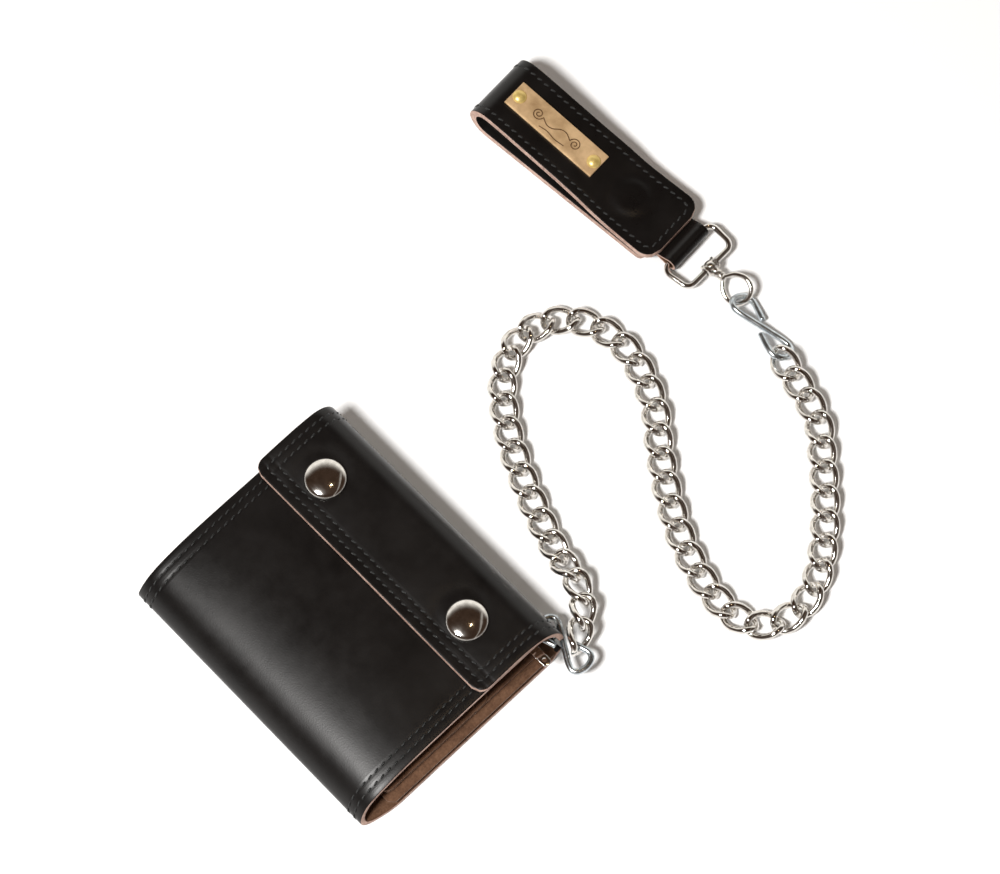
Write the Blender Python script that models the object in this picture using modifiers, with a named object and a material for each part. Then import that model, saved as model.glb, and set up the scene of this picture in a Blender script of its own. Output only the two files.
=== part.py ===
"""Chain wallet: a leather wallet with a snap flap, a curb chain, and a belt loop.

Metres, +Z up. The origin is the middle of the wallet's underside. +X runs along the wallet's
width, towards the side the chain is hooked to, and +Y towards the fold of the flap.
Each empty named pivot_... stands on a joint, with its own Z along the joint's axis.
"""

import math

import bmesh
import bpy
from mathutils import Matrix, Vector

MM = 0.001

# Clearances
GAP = 0.3 * MM                   # between layers that lie on each other
RUN = 0.35 * MM                  # round anything that turns or slides
SHARP_ANGLE = math.radians(35)   # edges steeper than this are shaded sharp

FOLD_STRAIGHT = 1.0 * MM         # leather stays straight this far either side of a crease

# Wallet cover
WALLET_WIDTH = 115 * MM
WALLET_HEIGHT = 93 * MM
FRONT_WIDTH = 110.5 * MM
FRONT_TOP = 17.7 * MM            # height of the front panel's outer face
COVER_LEATHER = 2.0 * MM
FOLD_ABOVE = 0.3 * MM            # crease of the flap above the front panel's outer face
FOLD_RADIUS = 4.0 * MM
HEEL_RADIUS = 3.0 * MM           # where the back panel turns up into the fold
FLAP_LENGTH = 36.5 * MM          # from the fold to the flap's free edge
FLAP_LIFT = 4.3 * MM             # flap's outer face above the crease, over the snaps
FLAP_DROOP = 2.0 * MM            # how far the free edge comes down
FRONT_SHORT = 10 * MM            # the front panel stops this far short of the fold

# Inner leather
LINING = 1.2 * MM
POCKET = 0.8 * MM
INNER_MARGIN = 4 * MM            # how far inner layers stay back from the side edges
DIVIDER_SHORT = 8 * MM
CARD_POCKET_1_LENGTH = 62 * MM
CARD_POCKET_2_LENGTH = 50 * MM
POUCH_WIDTH = 98 * MM
POUCH_DEPTH = 55 * MM
POUCH_THICKNESS = 5.2 * MM
ZIP_TAPE = 0.9 * MM
ZIP_TOOTH = 1.1 * MM
SLIDER = (8 * MM, 2.4 * MM, 3.2 * MM)
PULL = (13.5 * MM, 3.5 * MM, 0.8 * MM)
PULL_FROM = 1.5 * MM             # the pull starts this far past the slider's middle

# Snap fasteners
SNAP_SPACING = 70 * MM
SNAP_SHIFT = -3.5 * MM           # the pair's middle, from the wallet's middle
SNAP_FROM_EDGE = 14.8 * MM       # from the flap's free edge
CAP_RADIUS = 7.5 * MM
CAP_HEIGHT = 2.5 * MM
CAP_STEM = 1.9 * MM
SOCKET_RADIUS = 5.6 * MM
SOCKET_HEIGHT = 1.3 * MM
STUD_RADIUS = 2.1 * MM
STUD_BASE = 4.6 * MM
POST_RADIUS = 5.2 * MM
POST_HEIGHT = 0.5 * MM
POST_STEM = 1.3 * MM

# Wallet end of the chain
HOOK_HEIGHT = 8.0 * MM
EYELET_BORE = 1.9 * MM
EYELET_FLANGE = 3.3 * MM
EYELET_LIP = 0.35 * MM
EYELET_WALL = 0.45 * MM
HOOK_WIRE = 2.3 * MM
WALLET_HOOK = (11.1 * MM, 4.35 * MM)      # half length and half width of the wire's centreline
BELT_HOOK = (14.2 * MM, 4.6 * MM)
HOOK_NOTCH = (5.6 * MM, 6.8 * MM)         # depth and height of the cut-out in the fold's side

# Curb chain
LINK_COUNT = 44
LINK_WIRE = 2.35 * MM
LINK_WIDTH = 10.8 * MM
LINK_SLACK = 1.9 * MM            # play between one link and the next
BEAD_RADIUS = 0.7 * MM           # joins the two links of a pair
LINK_TWIST = math.radians(-52)
LINK_SQUARENESS = 0.85           # 1 is an ellipse, and less has straighter sides
# The chain, the ring and the belt loop are placed from the wallet's corner beside its hook.
CHAIN_ROUTE = [Vector(p) * MM for p in (
    (1.33, 4.52, 8.6), (-2.05, 9.7, 8.49), (-9.2, 16.1, 7.26), (-17.3, 18.5, 7.74),
    (-25.5, 20.7, 4.75), (-40.1, 25.8, 3.35), (-57.3, 33, 3.25), (-72.9, 41.8, 3.25),
    (-86.1, 53.1, 3.25), (-92.5, 68.5, 3.25), (-87.1, 82.8, 3.25), (-75, 90.1, 3.25),
    (-60.7, 90.9, 3.25), (-42.6, 84.1, 3.25), (-27.8, 72.7, 3.25), (-13.3, 62.8, 3.25),
    (2.5, 54.5, 3.25), (18.5, 49.7, 3.25), (32.5, 49.3, 3.25), (42.1, 54.9, 3.25),
    (45.7, 65.9, 3.25), (43.1, 77.3, 3.25), (36.5, 88.1, 3.25), (26.5, 99.5, 3.25),
    (13.5, 111.5, 3.35), (0.4, 121.5, 3.55), (-20.5, 127.3, 4.8))]
WALLET_END_ROLL = (math.radians(42), 5.84)  # turn of the first link, and links it dies out over
BELT_END_ROLL = (math.radians(-20), 2.8)

# Belt end of the chain
BELT_HOOK_AT = Vector((-36.2, 131.7, 3.9)) * MM
BELT_HOOK_TURN = math.radians(-7.7)
BELT_HOOK_ROLL = math.radians(-28)
RING_AT = Vector((-76.3, 134.1, 4.6)) * MM  # middle of the ring's bar that the tab holds
RING_TURN = math.radians(3)
RING_WIRE = 2.2 * MM
RING_LENGTH = 11.6 * MM
RING_WIDTHS = (24.6 * MM, 23.6 * MM)      # at the tab, and at the swivel
RING_CORNER = 3.2 * MM
BARREL = (2.4 * MM, 5.6 * MM)             # radius and length
NECK = (1.8 * MM, 4.3 * MM)               # radius, and reach from the ring's bar
SHANK_RADIUS = 0.85 * MM
EYE_WIRE = 1.9 * MM
EYE_RADIUS = 5.2 * MM
EYE_REACH = 12.7 * MM                     # from the ring's bar to the eye's centre
EYE_ROLL = math.radians(35)

# Belt loop
STRAP_AT = Vector((-167.0, 126.8, 0)) * MM
STRAP_TURN = math.radians(4.6)
STRAP_LENGTH = 86 * MM
STRAP_WIDTH = 27 * MM
STRAP_OUTER = 1.6 * MM
STRAP_LINING = 1.0 * MM
STRAP_FOLD_RADIUS = 8.0 * MM
TAB_WIDTH = 18.6 * MM
TAB_LEATHER = 0.9 * MM
TAB_OVERLAP = 14 * MM              # how far the tab runs in between the strap's runs
TAB_NIP = 5.4 * MM                 # the tab's two layers meet this far short of the ring's bar
TAB_EASE = 0.75 * MM               # room between the tab and the ring's wire
SNAP_FLANGE = 0.5 * MM             # foot of the snap's stud
STRAP_SNAP_FROM_END = 21 * MM
BOW_POINTS = (0.8, 0.57, 0.285)    # share of the way from the fold to the flat end: foot, middle, top
BOW_RISE = 4.2 * MM                # how far the upper run has risen at its middle
PLATE = (41 * MM, 10.4 * MM, 0.9 * MM)
PLATE_AT = 29 * MM
RIVET_SPACING = 35.5 * MM
RIVET_RADIUS = 2.6 * MM
RIVET_HEIGHT = 1.2 * MM

X, Y, Z = Vector((1, 0, 0)), Vector((0, 1, 0)), Vector((0, 0, 1))

for old in list(bpy.data.objects):
    bpy.data.objects.remove(old, do_unlink=True)

parts = bpy.data.collections.new("chain_wallet")
tools = bpy.data.collections.new("cutters")
for collection in (parts, tools):
    bpy.context.scene.collection.children.link(collection)


# Materials

def material(name, colour, roughness, metallic=0.0):
    made = bpy.data.materials.new(name)
    made.use_nodes = True
    shader = made.node_tree.nodes["Principled BSDF"]
    shader.inputs["Base Color"].default_value = (*colour, 1.0)
    shader.inputs["Roughness"].default_value = roughness
    shader.inputs["Metallic"].default_value = metallic
    return made


black_leather = material("black_leather", (0.014, 0.013, 0.013), 0.32)
brown_leather = material("brown_leather", (0.13, 0.065, 0.035), 0.85)
nickel = material("nickel_plate", (0.72, 0.70, 0.67), 0.12, 1.0)
zinc = material("zinc_plate", (0.62, 0.66, 0.68), 0.28, 1.0)
brass = material("brass", (0.62, 0.43, 0.20), 0.35, 1.0)
zip_cloth = material("zip_cloth", (0.02, 0.02, 0.02), 0.9)


# Frames, pivots and small geometry

def frame(at, along, up=Z):
    """A frame with its own X along one direction and its Z as near to up as it can be."""
    x = along.normalized()
    y = up.cross(x).normalized()
    z = x.cross(y)
    turned = Matrix((x, y, z)).transposed().to_4x4()
    return Matrix.Translation(at) @ turned


def heading(angle):
    return Vector((math.cos(angle), math.sin(angle), 0))


def pivot(name, at, axis, parent=None):
    """An empty on a joint, with its Z along the joint's axis."""
    empty = bpy.data.objects.new("pivot_" + name, None)
    empty.empty_display_size = 0.01
    empty.matrix_world = Matrix.Translation(at) @ axis.to_track_quat("Z", "Y").to_matrix().to_4x4()
    parts.objects.link(empty)
    if parent:
        attach(empty, parent)
    return empty


def attach(thing, parent):
    thing.parent = parent
    thing.matrix_parent_inverse = parent_matrix(parent).inverted()


def parent_matrix(thing):
    """The world matrix of a pivot, worked out from its own and its parents' values."""
    if thing.parent is None:
        return thing.matrix_basis.copy()
    return parent_matrix(thing.parent) @ thing.matrix_parent_inverse @ thing.matrix_basis


def add(name, data, place, finish, parent):
    made = bpy.data.objects.new(name, data)
    made.matrix_world = place
    data.materials.append(finish)
    parts.objects.link(made)
    if isinstance(data, bpy.types.Mesh):
        data.shade_smooth()
        data.set_sharp_from_angle(angle=SHARP_ANGLE)
    if parent:
        attach(made, parent)
    return made


def cutter(name, data, place):
    made = bpy.data.objects.new(name, data)
    made.matrix_world = place
    made.hide_render = True
    made.display_type = "WIRE"
    tools.objects.link(made)
    return made


def boolean(piece, operand, operation):
    step = piece.modifiers.new(operand.name, "BOOLEAN")
    step.operation = operation
    step.object = operand
    step.solver = "EXACT"


def smooth_curve(points, steps):
    """A smooth line through points, with this many steps in each span."""
    ends = [2 * points[0] - points[1], *points, 2 * points[-1] - points[-2]]
    line = []
    for before, a, b, after in zip(ends, ends[1:], ends[2:], ends[3:]):
        for i in range(steps):
            t = i / steps
            line.append(0.5 * (2 * a + (b - before) * t + (2 * before - 5 * a + 4 * b - after) * t * t
                               + (3 * a - before - 3 * b + after) * t ** 3))
    return line + [points[-1]]


def arc(centre, radius, start, end, steps):
    """Points round a centre in a flat section, angles in degrees."""
    turns = (math.radians(start + (end - start) * i / steps) for i in range(steps + 1))
    return [Vector((centre[0] + radius * math.cos(a), centre[1] + radius * math.sin(a))) for a in turns]


def inset_path(path, depth):
    """A path moved sideways, to the right of the way it runs."""
    moved = []
    for i, point in enumerate(path):
        before, after = path[max(i - 1, 0)], path[min(i + 1, len(path) - 1)]
        a = (point - before).normalized() if i else (after - point).normalized()
        b = (after - point).normalized() if i < len(path) - 1 else a
        middle = (a + b).normalized()
        side = Vector((middle.y, -middle.x))
        moved.append(point + side * depth / max(middle.dot(a), 0.5))
    return moved


def flat_outline(points, thickness):
    """A closed flat outline in XY, thickened both ways along Z."""
    data = bpy.data.curves.new("outline", "CURVE")
    data.dimensions = "2D"
    data.fill_mode = "BOTH"
    data.extrude = thickness / 2
    line = data.splines.new("POLY")
    line.points.add(len(points) - 1)
    for target, point in zip(line.points, points):
        target.co = (point.x, point.y, 0, 1)
    line.use_cyclic_u = True
    return data


def layer(name, path, outside, inside, place, width, finish, parent, cut=False):
    """A sheet of leather that follows a path, between two depths to the right of it."""
    data = flat_outline(inset_path(path, outside) + inset_path(path, inside)[::-1], width)
    return add(name, curve_mesh(data, name) if cut else data, place, finish, parent)


def box_mesh(size):
    shape = bmesh.new()
    bmesh.ops.create_cube(shape, size=1)
    bmesh.ops.scale(shape, vec=size, verts=shape.verts)
    data = bpy.data.meshes.new("box")
    shape.to_mesh(data)
    shape.free()
    return data


def rod_mesh(radius, length, segments=16):
    """A cylinder round its own X, centred."""
    shape = bmesh.new()
    bmesh.ops.create_cone(shape, cap_ends=True, segments=segments, radius1=radius, radius2=radius,
                          depth=length, matrix=Matrix.Rotation(math.pi / 2, 4, "Y"))
    data = bpy.data.meshes.new("rod")
    shape.to_mesh(data)
    shape.free()
    return data


def turned(name, profile, place, finish, parent, steps=20):
    """A solid turned round its own Z. The profile runs down the outer side, from the top."""
    data = bpy.data.meshes.new(name)
    ring = profile[0] == profile[-1]
    points = profile[:-1] if ring else profile
    edges = [(i, i + 1) for i in range(len(points) - 1)]
    if ring:
        edges.append((len(points) - 1, 0))
    data.from_pydata([(r, 0, z) for r, z in points], edges, [])
    made = add(name, data, place, finish, parent)
    screw = made.modifiers.new("turn", "SCREW")
    screw.steps = screw.render_steps = steps
    screw.use_merge_vertices = True
    screw.merge_threshold = 0.01 * MM
    screw.use_smooth_shade = True
    return made


def wire_curve(points, diameter, closed, sides=8):
    data = bpy.data.curves.new("wire", "CURVE")
    data.dimensions = "3D"
    data.bevel_depth = diameter / 2
    data.bevel_resolution = (sides - 4) // 2
    data.use_fill_caps = not closed
    line = data.splines.new("POLY")
    line.points.add(len(points) - 1)
    for target, point in zip(line.points, points):
        target.co = (*point, 1)
    line.use_cyclic_u = closed
    return data


def curve_mesh(data, name):
    """The mesh of a curve, with its caps welded on, and the curve removed."""
    carrier = bpy.data.objects.new(name, data)
    tools.objects.link(carrier)
    bpy.context.view_layer.update()
    seen = carrier.evaluated_get(bpy.context.evaluated_depsgraph_get())
    mesh = bpy.data.meshes.new_from_object(seen)
    mesh.name = name
    bpy.data.objects.remove(carrier)
    shape = bmesh.new()
    shape.from_mesh(mesh)
    bmesh.ops.remove_doubles(shape, verts=shape.verts, dist=0.000001)
    shape.to_mesh(mesh)
    shape.free()
    return mesh


# Wallet cover: the back panel runs round the spine and up the fold, and the front panel and the
# flap are hinged on its two ends

half_width = WALLET_WIDTH / 2
low, high = -WALLET_HEIGHT / 2, WALLET_HEIGHT / 2
fold_height = FRONT_TOP + FOLD_ABOVE         # where the flap turns
wallet_corner = Vector((half_width, high, 0))
spine_radius = FRONT_TOP / 2
spine = (low + spine_radius, spine_radius)
section = Matrix(((0, 0, 1, 0), (1, 0, 0, 0), (0, 1, 0, 0), (0, 0, 0, 1)))  # flat XY to YZ

flap_hinge = pivot("flap", Vector((0, high, fold_height)), -X)
spine_crease = spine[0] + FOLD_STRAIGHT
front_hinge = pivot("front", Vector((0, spine_crease, FRONT_TOP)), X)

back_path = [Vector((spine_crease, FRONT_TOP))]
back_path += arc(spine, spine_radius, 90, 270, 10)
back_path += arc((high - HEEL_RADIUS, HEEL_RADIUS), HEEL_RADIUS, 270, 360, 3)
back_path += [Vector((high, fold_height - GAP / 2))]
cover_back = layer("cover_back", back_path, 0, -COVER_LEATHER, section, WALLET_WIDTH,
                   black_leather, None, cut=True)

front_end = high - FRONT_SHORT
front_path = [Vector((spine_crease + GAP, FRONT_TOP)), Vector((front_end, FRONT_TOP))]
front_place = Matrix.Translation(X * (FRONT_WIDTH - WALLET_WIDTH) / 2) @ section
cover_front = layer("cover_front", front_path, 0, COVER_LEATHER, front_place, FRONT_WIDTH,
                    black_leather, front_hinge, cut=True)

flap_top = fold_height + FLAP_LIFT
flap_edge = high - FLAP_LENGTH
snap_y = flap_edge + SNAP_FROM_EDGE
flap_path = [Vector((high, fold_height + GAP / 2))]
flap_path += arc((high - FOLD_RADIUS, flap_top - FOLD_RADIUS), FOLD_RADIUS, 0, 90, 5)
flap_path += [Vector((snap_y - CAP_RADIUS, flap_top))]
flap_path += [Vector((flap_edge + 3.6 * MM, flap_top - FLAP_DROOP * 0.4)),
              Vector((flap_edge, flap_top - FLAP_DROOP))]
cover_flap = layer("cover_flap", flap_path, 0, -COVER_LEATHER, section, WALLET_WIDTH,
                   black_leather, flap_hinge, cut=True)


# Inner layers, from the back panel up

inner_low = spine_crease + 2 * MM
inner_width = WALLET_WIDTH - 2 * INNER_MARGIN


def panel(name, bottom, thickness, start, end, width, finish, parent):
    path = [Vector((start, bottom)), Vector((end, bottom))]
    return layer(name, path, 0, -thickness, section, width, finish, parent)


lining_bottom = COVER_LEATHER + GAP
panel("lining_back", lining_bottom, LINING, inner_low, high - HEEL_RADIUS - GAP,
      WALLET_WIDTH - 1 * MM, brown_leather, None)
divider_bottom = lining_bottom + LINING + GAP
panel("bill_divider", divider_bottom, LINING, inner_low, high - DIVIDER_SHORT, inner_width,
      brown_leather, None)
card_1_bottom = divider_bottom + LINING + GAP
panel("card_pocket_1", card_1_bottom, POCKET, inner_low, inner_low + CARD_POCKET_1_LENGTH,
      inner_width, brown_leather, None)
card_2_bottom = card_1_bottom + POCKET + GAP
panel("card_pocket_2", card_2_bottom, POCKET, inner_low, inner_low + CARD_POCKET_2_LENGTH,
      inner_width, brown_leather, None)

front_under = FRONT_TOP - COVER_LEATHER
front_lining_bottom = front_under - GAP - POST_HEIGHT - GAP - LINING
panel("lining_front", front_lining_bottom, LINING, inner_low, front_end - 1.5 * MM,
      inner_width - 2 * MM, brown_leather, front_hinge)

pouch_top = front_lining_bottom - GAP
pouch_low = pouch_top - POUCH_THICKNESS
pouch_mouth = front_end - 4 * MM
pouch_path = [Vector((pouch_mouth, pouch_top)), Vector((pouch_mouth - POUCH_DEPTH, pouch_top)),
              Vector((pouch_mouth - POUCH_DEPTH, pouch_low)), Vector((pouch_mouth, pouch_low))]
layer("coin_pouch", pouch_path, 0, -POCKET, section, POUCH_WIDTH, brown_leather, front_hinge)

zip_y = pouch_mouth + GAP
zip_z = (pouch_top + pouch_low) / 2
zip_half = POUCH_THICKNESS / 2
zip_outline = [Vector(p) for p in (
    (zip_y, zip_z - zip_half), (zip_y + ZIP_TAPE, zip_z - zip_half),
    (zip_y + ZIP_TAPE, zip_z - ZIP_TOOTH / 2), (zip_y + ZIP_TAPE + ZIP_TOOTH / 2, zip_z - ZIP_TOOTH / 2),
    (zip_y + ZIP_TAPE + ZIP_TOOTH / 2, zip_z + ZIP_TOOTH / 2), (zip_y + ZIP_TAPE, zip_z + ZIP_TOOTH / 2),
    (zip_y + ZIP_TAPE, zip_z + zip_half), (zip_y, zip_z + zip_half))]
add("coin_zip", flat_outline(zip_outline, POUCH_WIDTH), section, zip_cloth, front_hinge)

slider_y = zip_y + ZIP_TAPE + ZIP_TOOTH / 2 + RUN + SLIDER[1] / 2
slider_x = POUCH_WIDTH / 2 - SLIDER[0] / 2
slider_at = Vector((slider_x, slider_y, zip_z))
zip_runner = pivot("zip_runner", slider_at, X, front_hinge)
add("zip_slider", box_mesh(SLIDER), Matrix.Translation(slider_at), nickel, zip_runner)

pull_z = zip_z + SLIDER[2] / 2 + RUN
pull_end = slider_x + PULL_FROM + PULL[0]
pull_round = arc((pull_end - PULL[1] / 2, 0), PULL[1] / 2, -90, 90, 6)
pull_outline = [Vector((pull_end - PULL[0], PULL[1] / 2)), Vector((pull_end - PULL[0], -PULL[1] / 2))]
pull_outline += pull_round
add("zip_pull", flat_outline(pull_outline, PULL[2]),
    Matrix.Translation((0, slider_y, pull_z + PULL[2] / 2)), nickel, zip_runner)


# Snap fasteners: a cap and a socket on the flap, a stud and its post on the front panel

flap_under = flap_top - COVER_LEATHER
socket_hole = STUD_RADIUS + RUN
for side, x in (("left", SNAP_SHIFT - SNAP_SPACING / 2), ("right", SNAP_SHIFT + SNAP_SPACING / 2)):
    at = Vector((x, snap_y, 0))
    stem_end = flap_under - GAP
    hole = cutter("flap_hole_" + side, rod_mesh(CAP_STEM + RUN, 4 * COVER_LEATHER),
                  frame(at + Z * flap_top, Z, X))
    boolean(cover_flap, hole, "DIFFERENCE")
    rim = flap_top + GAP
    turned("snap_cap_" + side,
           [(0, rim + CAP_HEIGHT), (CAP_RADIUS * 0.45, rim + CAP_HEIGHT * 0.92),
            (CAP_RADIUS * 0.8, rim + CAP_HEIGHT * 0.62), (CAP_RADIUS * 0.97, rim + CAP_HEIGHT * 0.25),
            (CAP_RADIUS, rim), (CAP_STEM, rim), (CAP_STEM, stem_end), (0, stem_end)],
           Matrix.Translation(at), nickel, flap_hinge)
    turned("snap_socket_" + side,
           [(socket_hole, stem_end - GAP), (SOCKET_RADIUS, stem_end - GAP),
            (SOCKET_RADIUS, stem_end - SOCKET_HEIGHT), (socket_hole, stem_end - SOCKET_HEIGHT),
            (socket_hole, stem_end - GAP)],
           Matrix.Translation(at), nickel, flap_hinge)
    hole = cutter("front_hole_" + side, rod_mesh(POST_STEM + GAP, 4 * COVER_LEATHER),
                  frame(at + Z * FRONT_TOP, Z, X))
    boolean(cover_front, hole, "DIFFERENCE")
    stud_low = FRONT_TOP + GAP
    stud_high = stem_end - GAP
    turned("snap_stud_" + side,
           [(0, stud_high), (STUD_RADIUS * 0.8, stud_high), (STUD_RADIUS, stud_high - 0.4 * MM),
            (STUD_RADIUS, stud_low), (0, stud_low)],
           Matrix.Translation(at), nickel, front_hinge, steps=16)
    post_low = front_under - GAP - POST_HEIGHT
    turned("snap_post_" + side,
           [(0, FRONT_TOP), (POST_STEM, FRONT_TOP), (POST_STEM, post_low + POST_HEIGHT),
            (POST_RADIUS, post_low + POST_HEIGHT), (POST_RADIUS, post_low), (0, post_low)],
           Matrix.Translation(at), nickel, front_hinge, steps=16)


# S-hooks: one wire bent into two teardrop loops, each with a short free leg

def hook_line(size, steps=2):
    """The centreline of an S-hook in its own XY, the same after half a turn."""
    length, width = size
    half = [Vector((length * u, width * v, 0)) for u, v in (
        (0.22, 0.34), (0.52, 0.80), (0.76, 1.0), (0.93, 0.72), (1.0, 0.0), (0.92, -0.70),
        (0.74, -0.98), (0.50, -0.86), (0.14, -0.54))]
    mirrored = [-p for p in half[::-1]]
    return smooth_curve(mirrored + half, steps)


fold_middle = high - COVER_LEATHER / 2
wallet_hook_at = Vector((half_width - 0.2 * MM, fold_middle, HOOK_HEIGHT))
eyelet_x = wallet_hook_at.x - WALLET_HOOK[0]
wallet_hook = pivot("wallet_hook", Vector((eyelet_x, fold_middle, HOOK_HEIGHT)), Y)
hook_frame = frame(wallet_hook_at, X, -Z)
add("wallet_s_hook", wire_curve(hook_line(WALLET_HOOK), HOOK_WIRE, False), hook_frame, zinc,
    wallet_hook)

eyelet_at = Vector((eyelet_x, 0, HOOK_HEIGHT))
bore_out = EYELET_BORE + EYELET_WALL
hole = cutter("eyelet_hole", rod_mesh(bore_out + GAP, 4 * COVER_LEATHER),
              frame(eyelet_at + Y * fold_middle, Y))
boolean(cover_back, hole, "DIFFERENCE")
notch = cutter("hook_notch", box_mesh((2 * HOOK_NOTCH[0], 4 * COVER_LEATHER, HOOK_NOTCH[1])),
               Matrix.Translation((half_width, fold_middle, HOOK_HEIGHT)))
boolean(cover_back, notch, "DIFFERENCE")
eyelet_frame = frame(eyelet_at + Y * high, X, -Y) @ Matrix.Rotation(math.pi, 4, "X")
lip = EYELET_LIP + GAP
turned("hook_eyelet",
       [(EYELET_BORE, lip), (EYELET_FLANGE, lip), (EYELET_FLANGE, GAP), (bore_out, GAP),
        (bore_out, -COVER_LEATHER), (EYELET_BORE, -COVER_LEATHER), (EYELET_BORE, lip)],
       eyelet_frame, nickel, None, steps=14)
turned("eyelet_washer",
       [(EYELET_BORE, -COVER_LEATHER - GAP), (EYELET_FLANGE, -COVER_LEATHER - GAP),
        (EYELET_FLANGE, -COVER_LEATHER - lip), (EYELET_BORE, -COVER_LEATHER - lip),
        (EYELET_BORE, -COVER_LEATHER - GAP)],
       eyelet_frame, nickel, None, steps=14)


# Curb chain: oval links, each twisted a quarter turn from end to end, on one smooth route. Two
# links make one piece, joined by a bead where they cross.

route = smooth_curve([wallet_corner + point for point in CHAIN_ROUTE], 40)
travelled = [0.0]
for a, b in zip(route, route[1:]):
    travelled.append(travelled[-1] + (b - a).length)
pitch = travelled[-1] / (LINK_COUNT - 1)
link_half_length = (pitch + LINK_WIRE + LINK_SLACK / 2) / 2
link_half_width = (LINK_WIDTH - LINK_WIRE) / 2


def route_point(distance):
    """The point this far along the route. Past an end, the line goes straight on."""
    if distance <= 0:
        return route[0] + (route[1] - route[0]).normalized() * distance
    if distance >= travelled[-1]:
        return route[-1] + (route[-1] - route[-2]).normalized() * (distance - travelled[-1])
    i = next(k for k, d in enumerate(travelled) if d >= distance)
    share = (distance - travelled[i - 1]) / (travelled[i] - travelled[i - 1])
    return route[i - 1].lerp(route[i], share)


def link_roll(index):
    start, over = WALLET_END_ROLL
    end, over_end = BELT_END_ROLL
    roll = start * max(0.0, 1 - index / over)
    return roll + end * max(0.0, 1 - (LINK_COUNT - 1 - index) / over_end)


def link_frame(index):
    middle = route_point(index * pitch)
    along = route_point((index + 0.5) * pitch) - route_point((index - 0.5) * pitch)
    return frame(middle, along) @ Matrix.Rotation(link_roll(index), 4, "X")


def link_line(points=12):
    line = []
    for i in range(points):
        t = 2 * math.pi * i / points
        twist = LINK_TWIST * math.cos(t)
        along, across = (math.copysign(abs(v) ** LINK_SQUARENESS, v) for v in (math.cos(t), math.sin(t)))
        across *= link_half_width
        line.append(Vector((link_half_length * along, across * math.cos(twist),
                            across * math.sin(twist))))
    return line


link_data = curve_mesh(wire_curve(link_line(), LINK_WIRE, True, sides=6), "link")
bead_shape = bmesh.new()
bmesh.ops.create_icosphere(bead_shape, subdivisions=1, radius=BEAD_RADIUS)
bead_data = bpy.data.meshes.new("bead")
bead_shape.to_mesh(bead_data)
bead_shape.free()


def crossing(index):
    """Where a link crosses the one before it."""
    return route_point((index - 0.5) * pitch)


last = wallet_hook
for first in range(0, LINK_COUNT, 2):
    across = Z.cross(crossing(first + 1) - crossing(first)).normalized()
    axis = across if first // 2 % 2 == 0 else Z
    name = f"chain_links_{first + 1:02d}_{first + 2:02d}"
    last = pivot(name, crossing(first), axis, last)
    pair = add(name, link_data.copy(), link_frame(first), nickel, last)
    partner = cutter(f"link_{first + 2:02d}", link_data.copy(), link_frame(first + 1))
    boolean(pair, partner, "UNION")
    bead = cutter(f"bead_{first + 2:02d}", bead_data.copy(), Matrix.Translation(crossing(first + 1)))
    boolean(pair, bead, "UNION")


# Belt end: S-hook, pear-shaped eye, swivel barrel and ring

belt_hook_at = wallet_corner + BELT_HOOK_AT
belt_hook_frame = frame(belt_hook_at, heading(BELT_HOOK_TURN)) @ Matrix.Rotation(BELT_HOOK_ROLL, 4, "X")
hook_tip = belt_hook_frame @ Vector((BELT_HOOK[0], 0, 0))
belt_hook = pivot("belt_hook", hook_tip, Z, last)
add("belt_s_hook", wire_curve(hook_line(BELT_HOOK), HOOK_WIRE, False), belt_hook_frame, zinc,
    belt_hook)

ring_at = wallet_corner + RING_AT
ring_frame = frame(ring_at, heading(RING_TURN))
swivel_frame = ring_frame @ Matrix.Translation((RING_LENGTH, 0, 0))
eye_frame = swivel_frame @ Matrix.Rotation(EYE_ROLL, 4, "X")
eye_tip = eye_frame @ Vector((EYE_REACH + EYE_RADIUS, 0, 0))
eye_pivot = pivot("pear_eye", eye_tip, Z, belt_hook)
neck_start = EYE_REACH - EYE_RADIUS * 1.3
pear = [(EYE_REACH - EYE_RADIUS * 1.08, -0.34), (EYE_REACH - EYE_RADIUS * 0.72, -0.74),
        (EYE_REACH, -1.0), (EYE_REACH + EYE_RADIUS * 0.72, -0.70), (EYE_REACH + EYE_RADIUS, 0.0),
        (EYE_REACH + EYE_RADIUS * 0.72, 0.70), (EYE_REACH, 1.0), (EYE_REACH - EYE_RADIUS * 0.72, 0.74),
        (EYE_REACH - EYE_RADIUS * 1.08, 0.34)]
pear_line = smooth_curve([Vector((u, EYE_RADIUS * v, 0)) for u, v in pear], 3)
pear_line.append(Vector((neck_start, 0, 0)))
pear_eye = add("pear_eye", curve_mesh(wire_curve(pear_line, EYE_WIRE, True), "pear"), eye_frame,
               nickel, eye_pivot)
shank_start = BARREL[0] + GAP * 2
shank_length = neck_start - shank_start + 0.5 * MM
shank_frame = eye_frame @ Matrix.Translation((shank_start + shank_length / 2, 0, 0))
shank = cutter("shank", rod_mesh(SHANK_RADIUS, shank_length, 12), shank_frame)
boolean(pear_eye, shank, "UNION")

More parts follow.
